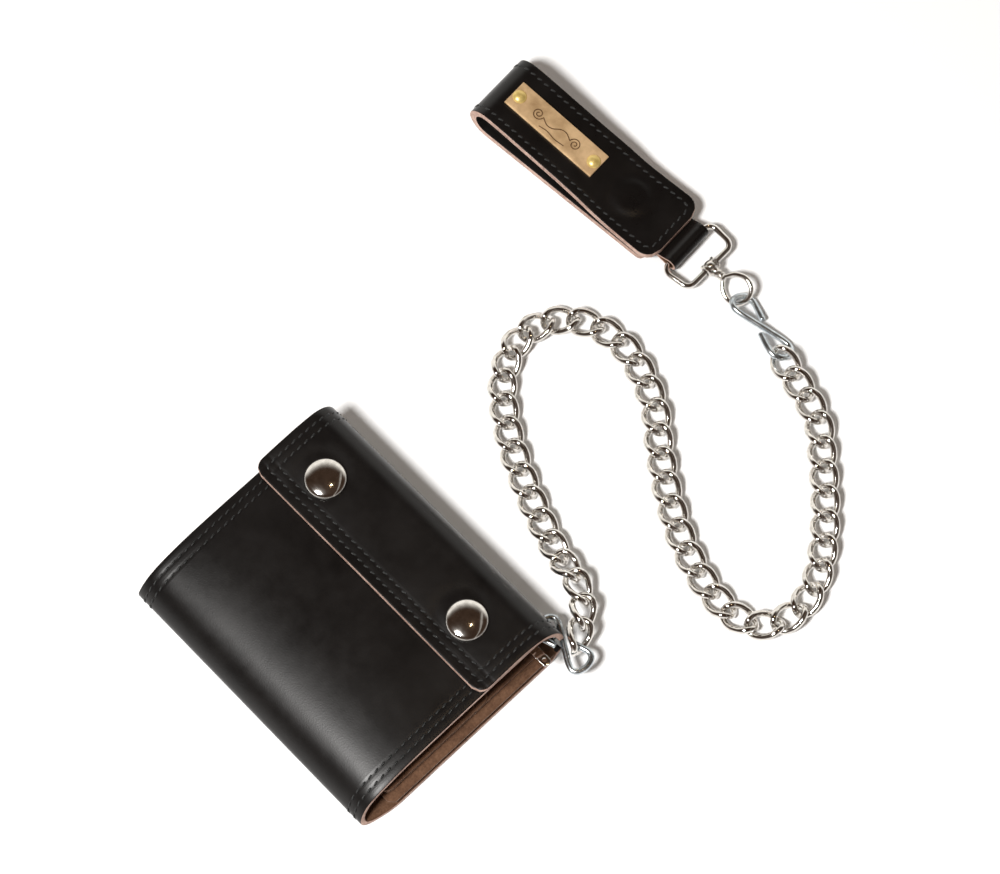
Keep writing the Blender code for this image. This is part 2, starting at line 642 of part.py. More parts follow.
swivel = pivot("swivel", swivel_frame.translation, heading(RING_TURN), eye_pivot)
barrel_frame = swivel_frame @ Matrix.Rotation(math.pi / 2, 4, "Z")
barrel = add("swivel_barrel", rod_mesh(BARREL[0], BARREL[1]), barrel_frame, nickel, swivel)
neck = cutter("neck", rod_mesh(NECK[0], NECK[1]), swivel_frame @ Matrix.Translation((NECK[1] / 2, 0, 0)))
boolean(barrel, neck, "UNION")
bore = cutter("barrel_bore", rod_mesh(RING_WIRE / 2 + RUN, BARREL[1] * 2), barrel_frame)
boolean(barrel, bore, "DIFFERENCE")
shank_bore = cutter("shank_bore", rod_mesh(SHANK_RADIUS + RUN, NECK[1]),
                    swivel_frame @ Matrix.Translation((BARREL[0] + NECK[1] / 2 + GAP, 0, 0)))
boolean(barrel, shank_bore, "DIFFERENCE")


def ring_line():
    """A rounded trapezium, the wide bar at x = 0."""
    wide, narrow = (w / 2 for w in RING_WIDTHS)
    corners = [(0, -wide, 180, 270), (RING_LENGTH, -narrow, 270, 360), (RING_LENGTH, narrow, 0, 90),
               (0, wide, 90, 180)]
    line = []
    for x, y, start, end in corners:
        centre = (x + (RING_CORNER if x == 0 else -RING_CORNER), y + (RING_CORNER if y < 0 else -RING_CORNER))
        line += arc(centre, RING_CORNER, start, end, 4)
    return [Vector((p.x, p.y, 0)) for p in line]


ring_pivot = pivot("ring", swivel_frame.translation, swivel_frame.to_3x3() @ Y, swivel)
add("d_ring", wire_curve(ring_line(), RING_WIRE, True), ring_frame, nickel, ring_pivot)


# Belt loop: a lined strap folded over, its lower run flat, its upper run held by a hidden snap. A
# tab sewn to the lower run holds the ring.

strap_frame = frame(wallet_corner + STRAP_AT, heading(STRAP_TURN))
strap_section = strap_frame @ Matrix(((1, 0, 0, 0), (0, 0, -1, 0), (0, 1, 0, 0), (0, 0, 0, 1)))
strap_layers = STRAP_OUTER + GAP + STRAP_LINING
loop_pivot = pivot("belt_loop", ring_at, strap_frame.to_3x3() @ Y, ring_pivot)
fold_at = strap_frame @ Vector((0, 0, STRAP_FOLD_RADIUS))
strap_hinge = pivot("strap_fold", fold_at, -(strap_frame.to_3x3() @ Y), loop_pivot)

bend = STRAP_FOLD_RADIUS - GAP / 2 - FOLD_STRAIGHT
lower_path = [Vector((0, STRAP_FOLD_RADIUS - GAP / 2))]
lower_path += arc((bend, bend), bend, 180, 270, 5)
lower_path += [Vector((STRAP_LENGTH - 3 * MM, 0))]
layer("strap_lower_outer", lower_path, 0, -STRAP_OUTER, strap_section, STRAP_WIDTH, black_leather,
      loop_pivot)
layer("strap_lower_lining", lower_path, -STRAP_OUTER - GAP, -strap_layers, strap_section,
      STRAP_WIDTH, black_leather, loop_pivot)

tab_low = strap_layers + GAP
tab_start = STRAP_LENGTH - TAB_OVERLAP
tab_end = (strap_frame.inverted() @ ring_at).x
tab_fold = RING_WIRE / 2 + TAB_EASE
tab_mid = ring_at.z
closed = TAB_LEATHER + GAP / 2
tab_centre = tab_low + closed
tab_path = [Vector((tab_start, tab_centre - closed)), Vector((tab_end - TAB_NIP, tab_centre - closed))]
tab_path += arc((tab_end, tab_mid), tab_fold + TAB_LEATHER, 250, 470, 9)
tab_path += [Vector((tab_end - TAB_NIP, tab_centre + closed)), Vector((tab_start, tab_centre + closed))]
layer("dring_tab", tab_path, 0, -TAB_LEATHER, strap_section, TAB_WIDTH, black_leather, loop_pivot)

upper_low = tab_low + 2 * closed + GAP
upper_flat = upper_low + strap_layers
strap_snap_at = STRAP_LENGTH - STRAP_SNAP_FROM_END
bow_start = strap_snap_at - 8 * MM
foot, middle, top = (STRAP_FOLD_RADIUS + share * (bow_start - STRAP_FOLD_RADIUS) for share in BOW_POINTS)
upper_path = [Vector((STRAP_LENGTH, upper_flat)), Vector((bow_start, upper_flat))]
bow = [Vector((bow_start, upper_flat)), Vector((foot, upper_flat + BOW_RISE * 0.3)),
       Vector((middle, upper_flat + BOW_RISE)), Vector((top, 2 * STRAP_FOLD_RADIUS - 0.5 * MM)),
       Vector((STRAP_FOLD_RADIUS, 2 * STRAP_FOLD_RADIUS))]
upper_path += smooth_curve(bow, 2)[1:]
upper_path += arc((bend, 2 * STRAP_FOLD_RADIUS - bend), bend, 90, 180, 5)
upper_path += [Vector((0, STRAP_FOLD_RADIUS + GAP / 2))]
layer("strap_upper_outer", upper_path, 0, -STRAP_OUTER, strap_section, STRAP_WIDTH, black_leather,
      strap_hinge)
layer("strap_upper_lining", upper_path, -STRAP_OUTER - GAP, -strap_layers, strap_section,
      STRAP_WIDTH, black_leather, strap_hinge)

snap_place = strap_frame @ Matrix.Translation((strap_snap_at, 0, 0))
turned("strap_snap_stud",
       [(0, upper_low - GAP * 2), (STUD_RADIUS * 0.8, upper_low - GAP * 2),
        (STUD_RADIUS, upper_low - GAP * 2 - 0.4 * MM), (STUD_RADIUS, tab_low + SNAP_FLANGE),
        (STUD_BASE, tab_low + SNAP_FLANGE), (STUD_BASE, tab_low), (0, tab_low)],
       snap_place, nickel, loop_pivot, steps=16)
socket_low = tab_low + SNAP_FLANGE + GAP
turned("strap_snap_socket",
       [(socket_hole, upper_low - GAP), (STUD_BASE, upper_low - GAP), (STUD_BASE, socket_low),
        (socket_hole, socket_low), (socket_hole, upper_low - GAP)],
       snap_place, nickel, strap_hinge, steps=16)


# Name plate and its two rivets, on the upper run's slope

def upper_surface(distance):
    """The upper run's outer face at this distance from the fold, and its slope there."""
    for a, b in zip(upper_path, upper_path[1:]):
        if b.x <= distance <= a.x:
            return b.lerp(a, (distance - b.x) / (a.x - b.x)), (a - b).normalized()
    return upper_path[0], Vector((1, 0))


plate_seat = []
for share in (0, 1):
    point, slope = upper_surface(PLATE_AT + (share - 0.5) * PLATE[0])
    plate_seat.append(point)
slope = (plate_seat[1] - plate_seat[0]).normalized()
normal = Vector((-slope.y, slope.x))
bulge = max((upper_surface(PLATE_AT + (i / 10 - 0.5) * PLATE[0])[0] - plate_seat[0]).dot(normal)
            for i in range(11))
seat = (plate_seat[0] + plate_seat[1]) / 2 + normal * (bulge + GAP)
plate_tilt = math.atan2(slope.y, slope.x)
plate_frame = (strap_frame @ Matrix.Translation((seat.x, 0, seat.y))
               @ Matrix.Rotation(-plate_tilt, 4, "Y"))
plate_mesh = box_mesh(PLATE)
add("name_plate", plate_mesh, plate_frame @ Matrix.Translation((0, 0, PLATE[2] / 2)), brass, strap_hinge)
for number, x in ((1, -RIVET_SPACING / 2), (2, RIVET_SPACING / 2)):
    rim = PLATE[2] + GAP
    turned(f"plate_rivet_{number}",
           [(0, rim + RIVET_HEIGHT), (RIVET_RADIUS * 0.6, rim + RIVET_HEIGHT * 0.8),
            (RIVET_RADIUS, rim + RIVET_HEIGHT * 0.2), (RIVET_RADIUS, rim), (0, rim)],
           plate_frame @ Matrix.Translation((x, 0, 0)), brass, strap_hinge, steps=16)
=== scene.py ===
import bisect
import math
import random

import bpy
from mathutils import Matrix, Vector


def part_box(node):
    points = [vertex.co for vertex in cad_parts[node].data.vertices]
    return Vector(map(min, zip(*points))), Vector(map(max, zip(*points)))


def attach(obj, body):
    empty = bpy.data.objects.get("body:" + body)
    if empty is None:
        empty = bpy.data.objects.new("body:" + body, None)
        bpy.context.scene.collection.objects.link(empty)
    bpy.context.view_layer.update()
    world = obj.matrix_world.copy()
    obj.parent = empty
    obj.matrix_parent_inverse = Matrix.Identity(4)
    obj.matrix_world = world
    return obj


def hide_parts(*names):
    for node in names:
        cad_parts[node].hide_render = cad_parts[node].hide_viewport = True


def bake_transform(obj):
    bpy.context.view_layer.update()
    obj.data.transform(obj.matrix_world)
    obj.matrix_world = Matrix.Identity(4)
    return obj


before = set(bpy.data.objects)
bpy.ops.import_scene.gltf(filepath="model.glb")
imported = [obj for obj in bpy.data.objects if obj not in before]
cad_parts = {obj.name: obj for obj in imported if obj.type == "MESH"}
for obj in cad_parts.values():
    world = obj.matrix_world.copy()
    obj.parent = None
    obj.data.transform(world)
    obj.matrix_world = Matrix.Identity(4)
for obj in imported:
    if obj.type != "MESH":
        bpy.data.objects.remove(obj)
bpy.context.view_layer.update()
bpy.ops.object.select_all(action="DESELECT")
scene = bpy.context.scene
mm = 0.001


# Camera: high over the wallet, looking down and a little towards the belt loop's far side, with a
# long lens.

view_turn = math.radians(46.1)
view_height = math.radians(70)
view_distance = 1.2
look_at = Vector((-13.9, 83.9, 0)) * mm
look = Vector((-math.sin(view_turn) * math.cos(view_height), math.cos(view_turn) * math.cos(view_height),
               -math.sin(view_height)))
bpy.ops.object.camera_add(location=look_at - look * view_distance,
                          rotation=look.to_track_quat("-Z", "Y").to_euler())
camera = bpy.context.object
camera.data.lens = 123.4
camera.data.clip_start = 0.05
scene.camera = camera
scene.view_settings.view_transform = "Standard"


# Floor and lights: a white table, one large soft light from the spine's side, a small weak warm one
# almost straight overhead, and a room that is pale at the sides and dark overhead.

bpy.ops.mesh.primitive_plane_add(size=6, location=(0, 0, -0.0001))
floor = bpy.context.object
floor.name = "floor"
table = bpy.data.materials.new("white_table")
table.use_nodes = True
table_shader = table.node_tree.nodes["Principled BSDF"]
table_shader.inputs["Base Color"].default_value = (0.93, 0.94, 0.95, 1)
table_shader.inputs["Roughness"].default_value = 0.75
table_shader.inputs["Specular IOR Level"].default_value = 0.15
floor.data.materials.append(table)

room = bpy.data.worlds.new("room")
scene.world = room
room.use_nodes = True
room_nodes, room_links = room.node_tree.nodes, room.node_tree.links
room_way = room_nodes.new("ShaderNodeTexCoord").outputs["Generated"]


def room_node(kind, inputs=(), **settings):
    node = room_nodes.new(kind)
    for label, value in settings.items():
        setattr(node, label, value)
    for label, value in inputs:
        if isinstance(value, bpy.types.NodeSocket):
            room_links.new(value, node.inputs[label])
        else:
            node.inputs[label].default_value = value
    return node


height_of_way = room_node("ShaderNodeSeparateXYZ", [(0, room_way)]).outputs["Z"]
ceiling = room_node("ShaderNodeValToRGB", [(0, height_of_way)])
stops = ceiling.color_ramp.elements
stops[0].position, stops[0].color = 0.02, (0.62, 0.61, 0.60, 1)
stops[1].position, stops[1].color = 0.55, (0.050, 0.030, 0.020, 1)
middle_stop = stops.new(0.22)
middle_stop.color = (0.19, 0.165, 0.15, 1)
far_way = room_node("ShaderNodeVectorMath", [(0, room_way), (1, (-0.72, 0.69, 0.0))], operation="DOT_PRODUCT")
far_side = room_node("ShaderNodeMapRange", [("Value", far_way.outputs["Value"]), ("From Min", 0.25),
                                            ("From Max", 0.70)], interpolation_type="SMOOTHSTEP")
low_part = room_node("ShaderNodeMapRange", [("Value", height_of_way), ("From Min", 0.80), ("From Max", 0.50)],
                     interpolation_type="SMOOTHSTEP")
wall_share = room_node("ShaderNodeMath", [(0, far_side.outputs[0]), (1, low_part.outputs[0])],
                       operation="MULTIPLY")
side_way = room_node("ShaderNodeVectorMath", [(0, room_way), (1, (0.69, 0.72, 0.0))], operation="DOT_PRODUCT")
off_post = room_node("ShaderNodeMath", [(0, side_way.outputs["Value"]), (1, 0.50)], operation="SUBTRACT")
post_near = room_node("ShaderNodeMath", [(0, off_post.outputs[0])], operation="ABSOLUTE")
post = room_node("ShaderNodeMapRange", [("Value", post_near.outputs[0]), ("From Min", 0.055),
                                        ("From Max", 0.02), ("To Max", 0.32)],
                 interpolation_type="SMOOTHSTEP")
pale_share = room_node("ShaderNodeMath", [(0, wall_share.outputs[0]), (1, post.outputs[0])],
                       operation="MAXIMUM")
wall = room_node("ShaderNodeMix", [("Factor", pale_share.outputs[0]), ("A", ceiling.outputs[0]),
                                   ("B", (1.15, 1.12, 1.06, 1))], data_type="RGBA")
room_links.new(wall.outputs["Result"], room_nodes["Background"].inputs[0])


def soft_light(name, way, distance, size, power, colour):
    """A round light that faces the middle of the scene from this way."""
    way = Vector(way).normalized()
    bpy.ops.object.light_add(type="AREA", location=look_at + way * distance,
                             rotation=(-way).to_track_quat("-Z", "Y").to_euler())
    lamp = bpy.context.object
    lamp.name = name
    lamp.data.shape = "DISK"
    lamp.data.size = size
    lamp.data.energy = power
    lamp.data.color = colour


soft_light("key_light", (0.02, -0.52, 0.85), 1.7, 0.36, 37, (1.0, 0.985, 0.965))
soft_light("ceiling_spot", (0.10, 0.10, 0.99), 1.6, 0.045, 0.6, (1.0, 0.72, 0.42))


# Cover: one sheet of black leather, 2 mm thick with its flesh side left brown, that makes the
# front, the spine, the back, the fold and the flap. Its cut edges are raw. It is made here as two
# pieces that meet out of sight under the wallet: one bends at the spine, one at the flap's crease.

def effect(name, inputs, outputs):
    """A shared shader effect, with its sockets."""
    group = bpy.data.node_groups.new(name, "ShaderNodeTree")
    for label, value in inputs:
        kind = "NodeSocketVector" if value is None else "NodeSocketFloat"
        socket = group.interface.new_socket(label, in_out="INPUT", socket_type=kind)
        if value is not None:
            socket.default_value = value
    for label in outputs:
        group.interface.new_socket(label, in_out="OUTPUT", socket_type="NodeSocketFloat")
    return group, group.nodes.new("NodeGroupInput"), group.nodes.new("NodeGroupOutput")


def arithmetic(tree, operation, a, b=0.0, c=0.0):
    node = tree.nodes.new("ShaderNodeMath")
    node.operation = operation
    for socket, value in zip(node.inputs, (a, b, c)):
        if isinstance(value, bpy.types.NodeSocket):
            tree.links.new(value, socket)
        else:
            socket.default_value = value
    return node.outputs[0]


def noise_of(tree, vector, scale, detail=3.0, roughness=0.5, stretch=None):
    node = tree.nodes.new("ShaderNodeTexNoise")
    node.inputs["Detail"].default_value = detail
    node.inputs["Roughness"].default_value = roughness
    if isinstance(scale, bpy.types.NodeSocket):
        tree.links.new(scale, node.inputs["Scale"])
    else:
        node.inputs["Scale"].default_value = scale
    if stretch:
        mapping = tree.nodes.new("ShaderNodeMapping")
        mapping.inputs["Scale"].default_value = stretch
        tree.links.new(vector, mapping.inputs["Vector"])
        vector = mapping.outputs[0]
    tree.links.new(vector, node.inputs["Vector"])
    return node.outputs["Fac"]


# grain: fine creased cells of a smooth hide, with broad shallow unevenness under them
grain, grain_in, grain_out = effect("hide_grain", [("Place", None), ("Fineness", 900.0)],
                                    ["Height", "Shade"])
hide_at, fineness = grain_in.outputs["Place"], grain_in.outputs["Fineness"]
cells = grain.nodes.new("ShaderNodeTexVoronoi")
cells.feature = "DISTANCE_TO_EDGE"
grain.links.new(hide_at, cells.inputs["Vector"])
grain.links.new(fineness, cells.inputs["Scale"])
fine = noise_of(grain, hide_at, arithmetic(grain, "MULTIPLY", fineness, 2.2))
broad = noise_of(grain, hide_at, 55.0, 4.0, 0.6)
height = arithmetic(grain, "MULTIPLY_ADD", fine, 0.6, arithmetic(grain, "MULTIPLY", cells.outputs[0], 0.5))
grain.links.new(arithmetic(grain, "MULTIPLY_ADD", broad, 1.5, height), grain_out.inputs["Height"])
grain.links.new(broad, grain_out.inputs["Shade"])

# groove: where a row of stitches pulls the leather down, at a distance either side of the middle
groove, groove_in, groove_out = effect("sewn_groove", [("Across", 0.0), ("Row", 0.05), ("Width", 0.0012)],
                                       ["Dip"])
off_row = arithmetic(groove, "ABSOLUTE", arithmetic(groove, "SUBTRACT", groove_in.outputs["Across"],
                                                    groove_in.outputs["Row"]))
share = arithmetic(groove, "DIVIDE", off_row, groove_in.outputs["Width"])
dip = groove.nodes.new("ShaderNodeMapRange")
dip.interpolation_type = "SMOOTHSTEP"
dip.inputs["To Min"].default_value = 1.0
dip.inputs["To Max"].default_value = 0.0
groove.links.new(share, dip.inputs["Value"])
groove.links.new(dip.outputs[0], groove_out.inputs["Dip"])


def use(tree, group, **values):
    node = tree.nodes.new("ShaderNodeGroup")
    node.node_tree = group
    for label, value in values.items():
        if isinstance(value, bpy.types.NodeSocket):
            tree.links.new(value, node.inputs[label])
        else:
            node.inputs[label].default_value = value
    return node.outputs


def finish_of(name, colour, roughness, metallic=0.0):
    """A new material, its node tree, its shader and its place socket."""
    made = bpy.data.materials.new(name)
    made.use_nodes = True
    shader = made.node_tree.nodes["Principled BSDF"]
    shader.inputs["Base Color"].default_value = (*colour, 1)
    shader.inputs["Roughness"].default_value = roughness
    shader.inputs["Metallic"].default_value = metallic
    place = made.node_tree.nodes.new("ShaderNodeTexCoord")
    return made, made.node_tree, shader, place.outputs


def raise_by(tree, shader, height, distance, strength=1.0):
    bump = tree.nodes.new("ShaderNodeBump")
    bump.inputs["Distance"].default_value = distance
    bump.inputs["Strength"].default_value = strength
    tree.links.new(height, bump.inputs["Height"])
    tree.links.new(bump.outputs[0], shader.inputs["Normal"])


def shade_between(tree, shader, fac, dark, light, low=0.3, high=0.7):
    """Base colour that runs between two colours as a value goes from low to high."""
    ramp = tree.nodes.new("ShaderNodeValToRGB")
    ramp.color_ramp.elements[0].position, ramp.color_ramp.elements[0].color = low, (*dark, 1)
    ramp.color_ramp.elements[1].position, ramp.color_ramp.elements[1].color = high, (*light, 1)
    tree.links.new(fac, ramp.inputs[0])
    tree.links.new(ramp.outputs[0], shader.inputs["Base Color"])


def polished_hide(name, rows, end_rows=(), end=0.0, gloss=0.34):
    """Black hide, with the grooves of stitch rows this far from the middle and from one end."""
    made, tree, shader, place = finish_of(name, (0.004, 0.0033, 0.0030), gloss)
    shader.inputs["Specular IOR Level"].default_value = 0.30
    skin = use(tree, grain, Place=place["Object"], Fineness=1100.0)
    flat = tree.nodes.new("ShaderNodeSeparateXYZ")
    tree.links.new(place["UV"], flat.inputs[0])
    across = arithmetic(tree, "ABSOLUTE", flat.outputs["Y"])
    depth = 0.0
    for off, row in [(across, row) for row in rows] + [(flat.outputs["X"], end - row) for row in end_rows]:
        depth = arithmetic(tree, "ADD", use(tree, groove, Across=off, Row=row)["Dip"], depth)
    sunk = arithmetic(tree, "MULTIPLY", depth, -0.28)
    raise_by(tree, shader, arithmetic(tree, "MULTIPLY_ADD", skin["Height"], 0.11, sunk), 0.25 * mm, 0.8)
    wear = noise_of(tree, place["Object"], 240.0, 6.0, 0.65)
    uneven = arithmetic(tree, "MULTIPLY_ADD", skin["Shade"], 0.16, gloss - 0.14)
    tree.links.new(arithmetic(tree, "MULTIPLY_ADD", wear, 0.12, uneven), shader.inputs["Roughness"])
    shade_between(tree, shader, skin["Shade"], (0.0028, 0.0022, 0.0020), (0.0058, 0.0047, 0.0043))
    return made


# raw edge: the pinkish tan of the cut hide, fibrous, with darker stains at random
raw_edge, tree, shader, place = finish_of("raw_hide_edge", (0.42, 0.27, 0.21), 0.72)
fibres = noise_of(tree, place["Object"], 700.0, 5.0, 0.6)
stains = noise_of(tree, place["Object"], 90.0, 3.0, 0.5)
stains = arithmetic(tree, "MULTIPLY", stains, 0.5)
shade_between(tree, shader, arithmetic(tree, "MULTIPLY_ADD", fibres, 0.5, stains),
              (0.24, 0.135, 0.10), (0.56, 0.39, 0.32), 0.36, 0.62)
raise_by(tree, shader, fibres, 0.15 * mm)

# flesh side: brown suede with a short nap
suede, tree, shader, place = finish_of("brown_suede", (0.09, 0.045, 0.025), 0.95)
shader.inputs["Specular IOR Level"].default_value = 0.2
shader.inputs["Sheen Weight"].default_value = 0.35
shader.inputs["Sheen Roughness"].default_value = 0.5
shader.inputs["Sheen Tint"].default_value = (0.75, 0.5, 0.36, 1)
nap = noise_of(tree, place["Object"], 1400.0, 6.0, 0.7)
patches = noise_of(tree, place["Object"], 120.0, 4.0, 0.6)
patches = arithmetic(tree, "MULTIPLY", patches, 0.45)
shade_between(tree, shader, arithmetic(tree, "MULTIPLY_ADD", nap, 0.55, patches),
              (0.060, 0.028, 0.015), (0.17, 0.090, 0.052), 0.36, 0.64)
raise_by(tree, shader, nap, 0.2 * mm)


def in_mm(points):
    return [Vector(point) * mm for point in points]


def eased(value, start, end):
    """0 before start, 1 after end, and smooth between them."""
    share = min(max((value - start) / (end - start), 0), 1)
    return share * share * (3 - 2 * share)


def smooth_line(points, steps):
    """A smooth line through points, with this many steps in each span."""
    ends = [2 * points[0] - points[1], *points, 2 * points[-1] - points[-2]]
    line = []
    for before, a, b, after in zip(ends, ends[1:], ends[2:], ends[3:]):
        for i in range(steps):
            t = i / steps
            line.append(0.5 * (2 * a + (b - before) * t + (2 * before - 5 * a + 4 * b - after) * t * t
                               + (3 * a - before - 3 * b + after) * t ** 3))
    return line + [points[-1]]


def measured(points):
    """A line, and how far along it each of its points is."""
    runs = [0.0]
    for a, b in zip(points, points[1:]):
        runs.append(runs[-1] + (b - a).length)
    return points, runs


def on_line(line, distance):
    points, runs = line
    i = min(max(bisect.bisect(runs, distance), 1), len(runs) - 1)
    return points[i - 1].lerp(points[i], (distance - runs[i - 1]) / (runs[i] - runs[i - 1]))


def bow_of(centre, radii, start, end, steps=24):
    """Part of an ellipse in a flat section, angles in degrees."""
    turns = [math.radians(start + (end - start) * i / steps) for i in range(steps + 1)]
    return [Vector((centre[0] + radii[0] * math.cos(a), centre[1] + radii[1] * math.sin(a))) for a in turns]


def sheet_place(line, to_world, swell=None, edges=None):
    """Where a point of a flat sheet goes: along its section, across it, and above its face.

    A sheet with edges has them where that says, as shifts of its left and its right edge.
    """
    def place(along, across, above=0.0):
        point = on_line(line, along)
        step = 0.6 * mm
        way = (on_line(line, along + step) - on_line(line, along - step)).normalized()
        out = above + (swell(along, across) if swell else 0.0)
        if edges:
            width, left, right = edges(along)
            share = across / width + 0.5
            across += left * (1 - share) + right * share
        return to_world(point + Vector((-way.y, way.x)) * -out, across)
    return place


def flat_hide(name, length, width, steps, corner=0.0, near_corner=0.0):
    """A flat piece of hide with round corners at its far end. Its UV map is its own flat size."""
    bpy.ops.object.select_all(action="DESELECT")
    bpy.ops.mesh.primitive_grid_add(x_subdivisions=steps[0], y_subdivisions=steps[1], size=1)
    piece = bpy.context.object
    piece.name = piece.data.name = name
    for vertex in piece.data.vertices:
        along = (vertex.co.x + 0.5) * length
        half = width / 2
        for radius, left in ((corner, length - along), (near_corner, along)):
            if left < radius:
                half = min(half, width / 2 - radius + math.sqrt(radius ** 2 - (radius - left) ** 2))
        vertex.co = (along, vertex.co.y * 2 * half, 0)
    for loop, target in zip(piece.data.loops, piece.data.uv_layers.active.data):
        target.uv = piece.data.vertices[loop.vertex_index].co.xy
    return piece


def select_only(piece):
    bpy.ops.object.select_all(action="DESELECT")
    piece.select_set(True)
    bpy.context.view_layer.objects.active = piece


def apply_modifier(piece, kind, **settings):
    select_only(piece)
    bpy.ops.object.modifier_add(type=kind)
    step = piece.modifiers[-1]
    for label, value in settings.items():
        setattr(step, label, value)
    bpy.ops.object.modifier_apply(modifier=step.name)


def make_hide(piece, place, thickness, finishes, rounding=0.3 * mm):
    """Bends a flat piece into place, gives it thickness inwards, and softens its cut edges."""
    for vertex in piece.data.vertices:
        vertex.co = place(vertex.co.x, vertex.co.y)
    for finish in finishes:
        piece.data.materials.append(finish)
    apply_modifier(piece, "SOLIDIFY", thickness=thickness, offset=-1.0, use_even_offset=True,
                   material_offset=2, material_offset_rim=1)
    apply_modifier(piece, "BEVEL", width=rounding, segments=2, limit_method="ANGLE",
                   angle_limit=math.radians(60))
    bpy.ops.object.shade_smooth_by_angle(angle=math.radians(50))


cover_width = 115 * mm
hide_thickness = 2 * mm
front_top = 17.7 * mm
flap_top = 22.3 * mm
fold_middle = Vector((37.0, 11.15)) * mm
stitch_rows = (3.4 * mm, 6.4 * mm)


def across_x(point, across):
    return Vector((across, point.x, point.y))


# front and spine: the front slopes down to a narrow round spine
spine_section = [Vector((36.5 * mm - 2.1 * mm * i, front_top)) for i in range(21)]
spine_section += smooth_line(in_mm(((-5.5, 17.7), (-14, 17.5), (-22, 17.0), (-30, 15.8), (-36.3, 14.1),
                                    (-40.5, 12.0), (-43.6, 9.3), (-45.7, 6.4), (-46.4, 3.8), (-45.6, 1.4),
                                    (-43.2, 0.1), (-40, 0.0))), 7)[1:]
spine_section += [Vector((-38 + 2 * i, 0)) * mm for i in range(20)]
spine_line = measured(spine_section)
front_run = 78 * mm
spine_run = 28 * mm


def front_swell(along, across):
    share = min(max(along / front_run, 0), 1)
    rise = math.sin(math.pi * min(share * 1.05, 1)) ** 0.8 if 0 < share < 1 else 0.0
    return 0.7 * mm * rise * max(0.0, 1 - (across / (56 * mm)) ** 4)


def front_edges(along):
    """The front stops short of the back's right edge, and the spine runs out to it."""
    return cover_width, 0.0, -4.5 * mm * (1 - eased(along, front_run, front_run + spine_run))


front_hide = polished_hide("polished_hide_front", [cover_width / 2 - row for row in stitch_rows])
spine_place = sheet_place(spine_line, across_x, front_swell, front_edges)
cover_front = flat_hide("cover_front_and_spine", spine_line[1][-1], cover_width, (96, 64))
make_hide(cover_front, spine_place, hide_thickness, (front_hide, raw_edge, suede))
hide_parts("cover_back", "cover_front")
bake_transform(cover_front)

# fold and flap: the flap lies over the two snaps and droops to its free edge
fold_section = [Vector((2 * i, 0)) * mm for i in range(18)]
fold_section += bow_of(fold_middle, (9.5 * mm, 11.15 * mm), -90, 90, 44)
fold_section += smooth_line(in_mm(((36.9, 22.3), (31, 22.3), (25, 22.25), (20, 22.1), (16, 21.8), (13, 21.65),
                                   (10, 21.8))), 4)[1:]
fold_line = measured(fold_section)
flap_corner = 4.5 * mm
snap_spots = in_mm(((-38.5, 24.8), (31.5, 24.8)))


def flap_swell(along, across):
    """The flap dips round each snap, and its free edge waves slightly between them."""
    left = fold_line[1][-1] - along
    if left > 34 * mm:
        return 0.0
    y = 10 * mm + left
    out = 0.35 * mm * math.cos(across / (13 * mm)) * max(0.0, 1 - left / (16 * mm)) - 0.2 * mm
    for spot in snap_spots:
        off = math.hypot(across - spot.x, y - spot.y)
        out -= 0.3 * mm * math.exp(-((off - 8 * mm) / (2.5 * mm)) ** 2)
    return out * min(1.0, (34 * mm - left) / (6 * mm))


def flap_edges(along):
    """The flap lies a little to the left of the back."""
    share = 1 - eased(fold_line[1][-1] - along, 18 * mm, 58 * mm)
    return cover_width, -1.8 * mm * share, -4.0 * mm * share


flap_hide = polished_hide("polished_hide_flap", [cover_width / 2 - row for row in stitch_rows], stitch_rows,
                          fold_line[1][-1])
fold_place = sheet_place(fold_line, across_x, flap_swell, flap_edges)
cover_flap = flat_hide("cover_fold_and_flap", fold_line[1][-1], cover_width, (84, 72), corner=flap_corner)
make_hide(cover_flap, fold_place, hide_thickness, (flap_hide, raw_edge, suede))


def cut_away(piece, shape):
    """Takes a shape out of a piece, and the shape is gone."""
    apply_modifier(piece, "BOOLEAN", operation="DIFFERENCE", object=shape, solver="EXACT")
    bpy.data.objects.remove(shape, do_unlink=True)


# the S-hook leaves the fold through a slot cut in its end, and an eyelet holds its inner loop
bpy.ops.mesh.primitive_cylinder_add(vertices=32, radius=3.4 * mm, depth=14 * mm,
                                    location=(55.3 * mm, 45.5 * mm, 8 * mm), rotation=(math.pi / 2, 0, 0))
hook_slot = bpy.context.object
hook_slot.scale.x = 1.25
cut_away(cover_flap, hook_slot)
bpy.ops.mesh.primitive_cylinder_add(vertices=32, radius=2.6 * mm, depth=14 * mm,
                                    location=(46.2 * mm, 45.5 * mm, 8 * mm), rotation=(math.pi / 2, 0, 0))
cut_away(cover_flap, bpy.context.object)
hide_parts("cover_back", "cover_flap")
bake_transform(cover_flap)


# Stitching of the cover: two rows of waxed black thread along each side and along the flap's edge,
# about 3 mm to a stitch. Each stitch leans a little and sinks into its holes.

thread, tree, shader, place = finish_of("waxed_black_thread", (0.008, 0.0085, 0.0085), 0.45)
strands = tree.nodes.new("ShaderNodeTexWave")
strands.bands_direction = "DIAGONAL"
strands.inputs["Scale"].default_value = 1500
strands.inputs["Distortion"].default_value = 1.5
tree.links.new(place["Object"], strands.inputs["Vector"])
raise_by(tree, shader, strands.outputs["Fac"], 0.08 * mm, 0.7)
shade_between(tree, shader, strands.outputs["Fac"], (0.004, 0.0045, 0.0045), (0.013, 0.014, 0.014))

stitch_length = 2.75 * mm
stitch_pitch = 3.15 * mm
thread_radius = 0.36 * mm


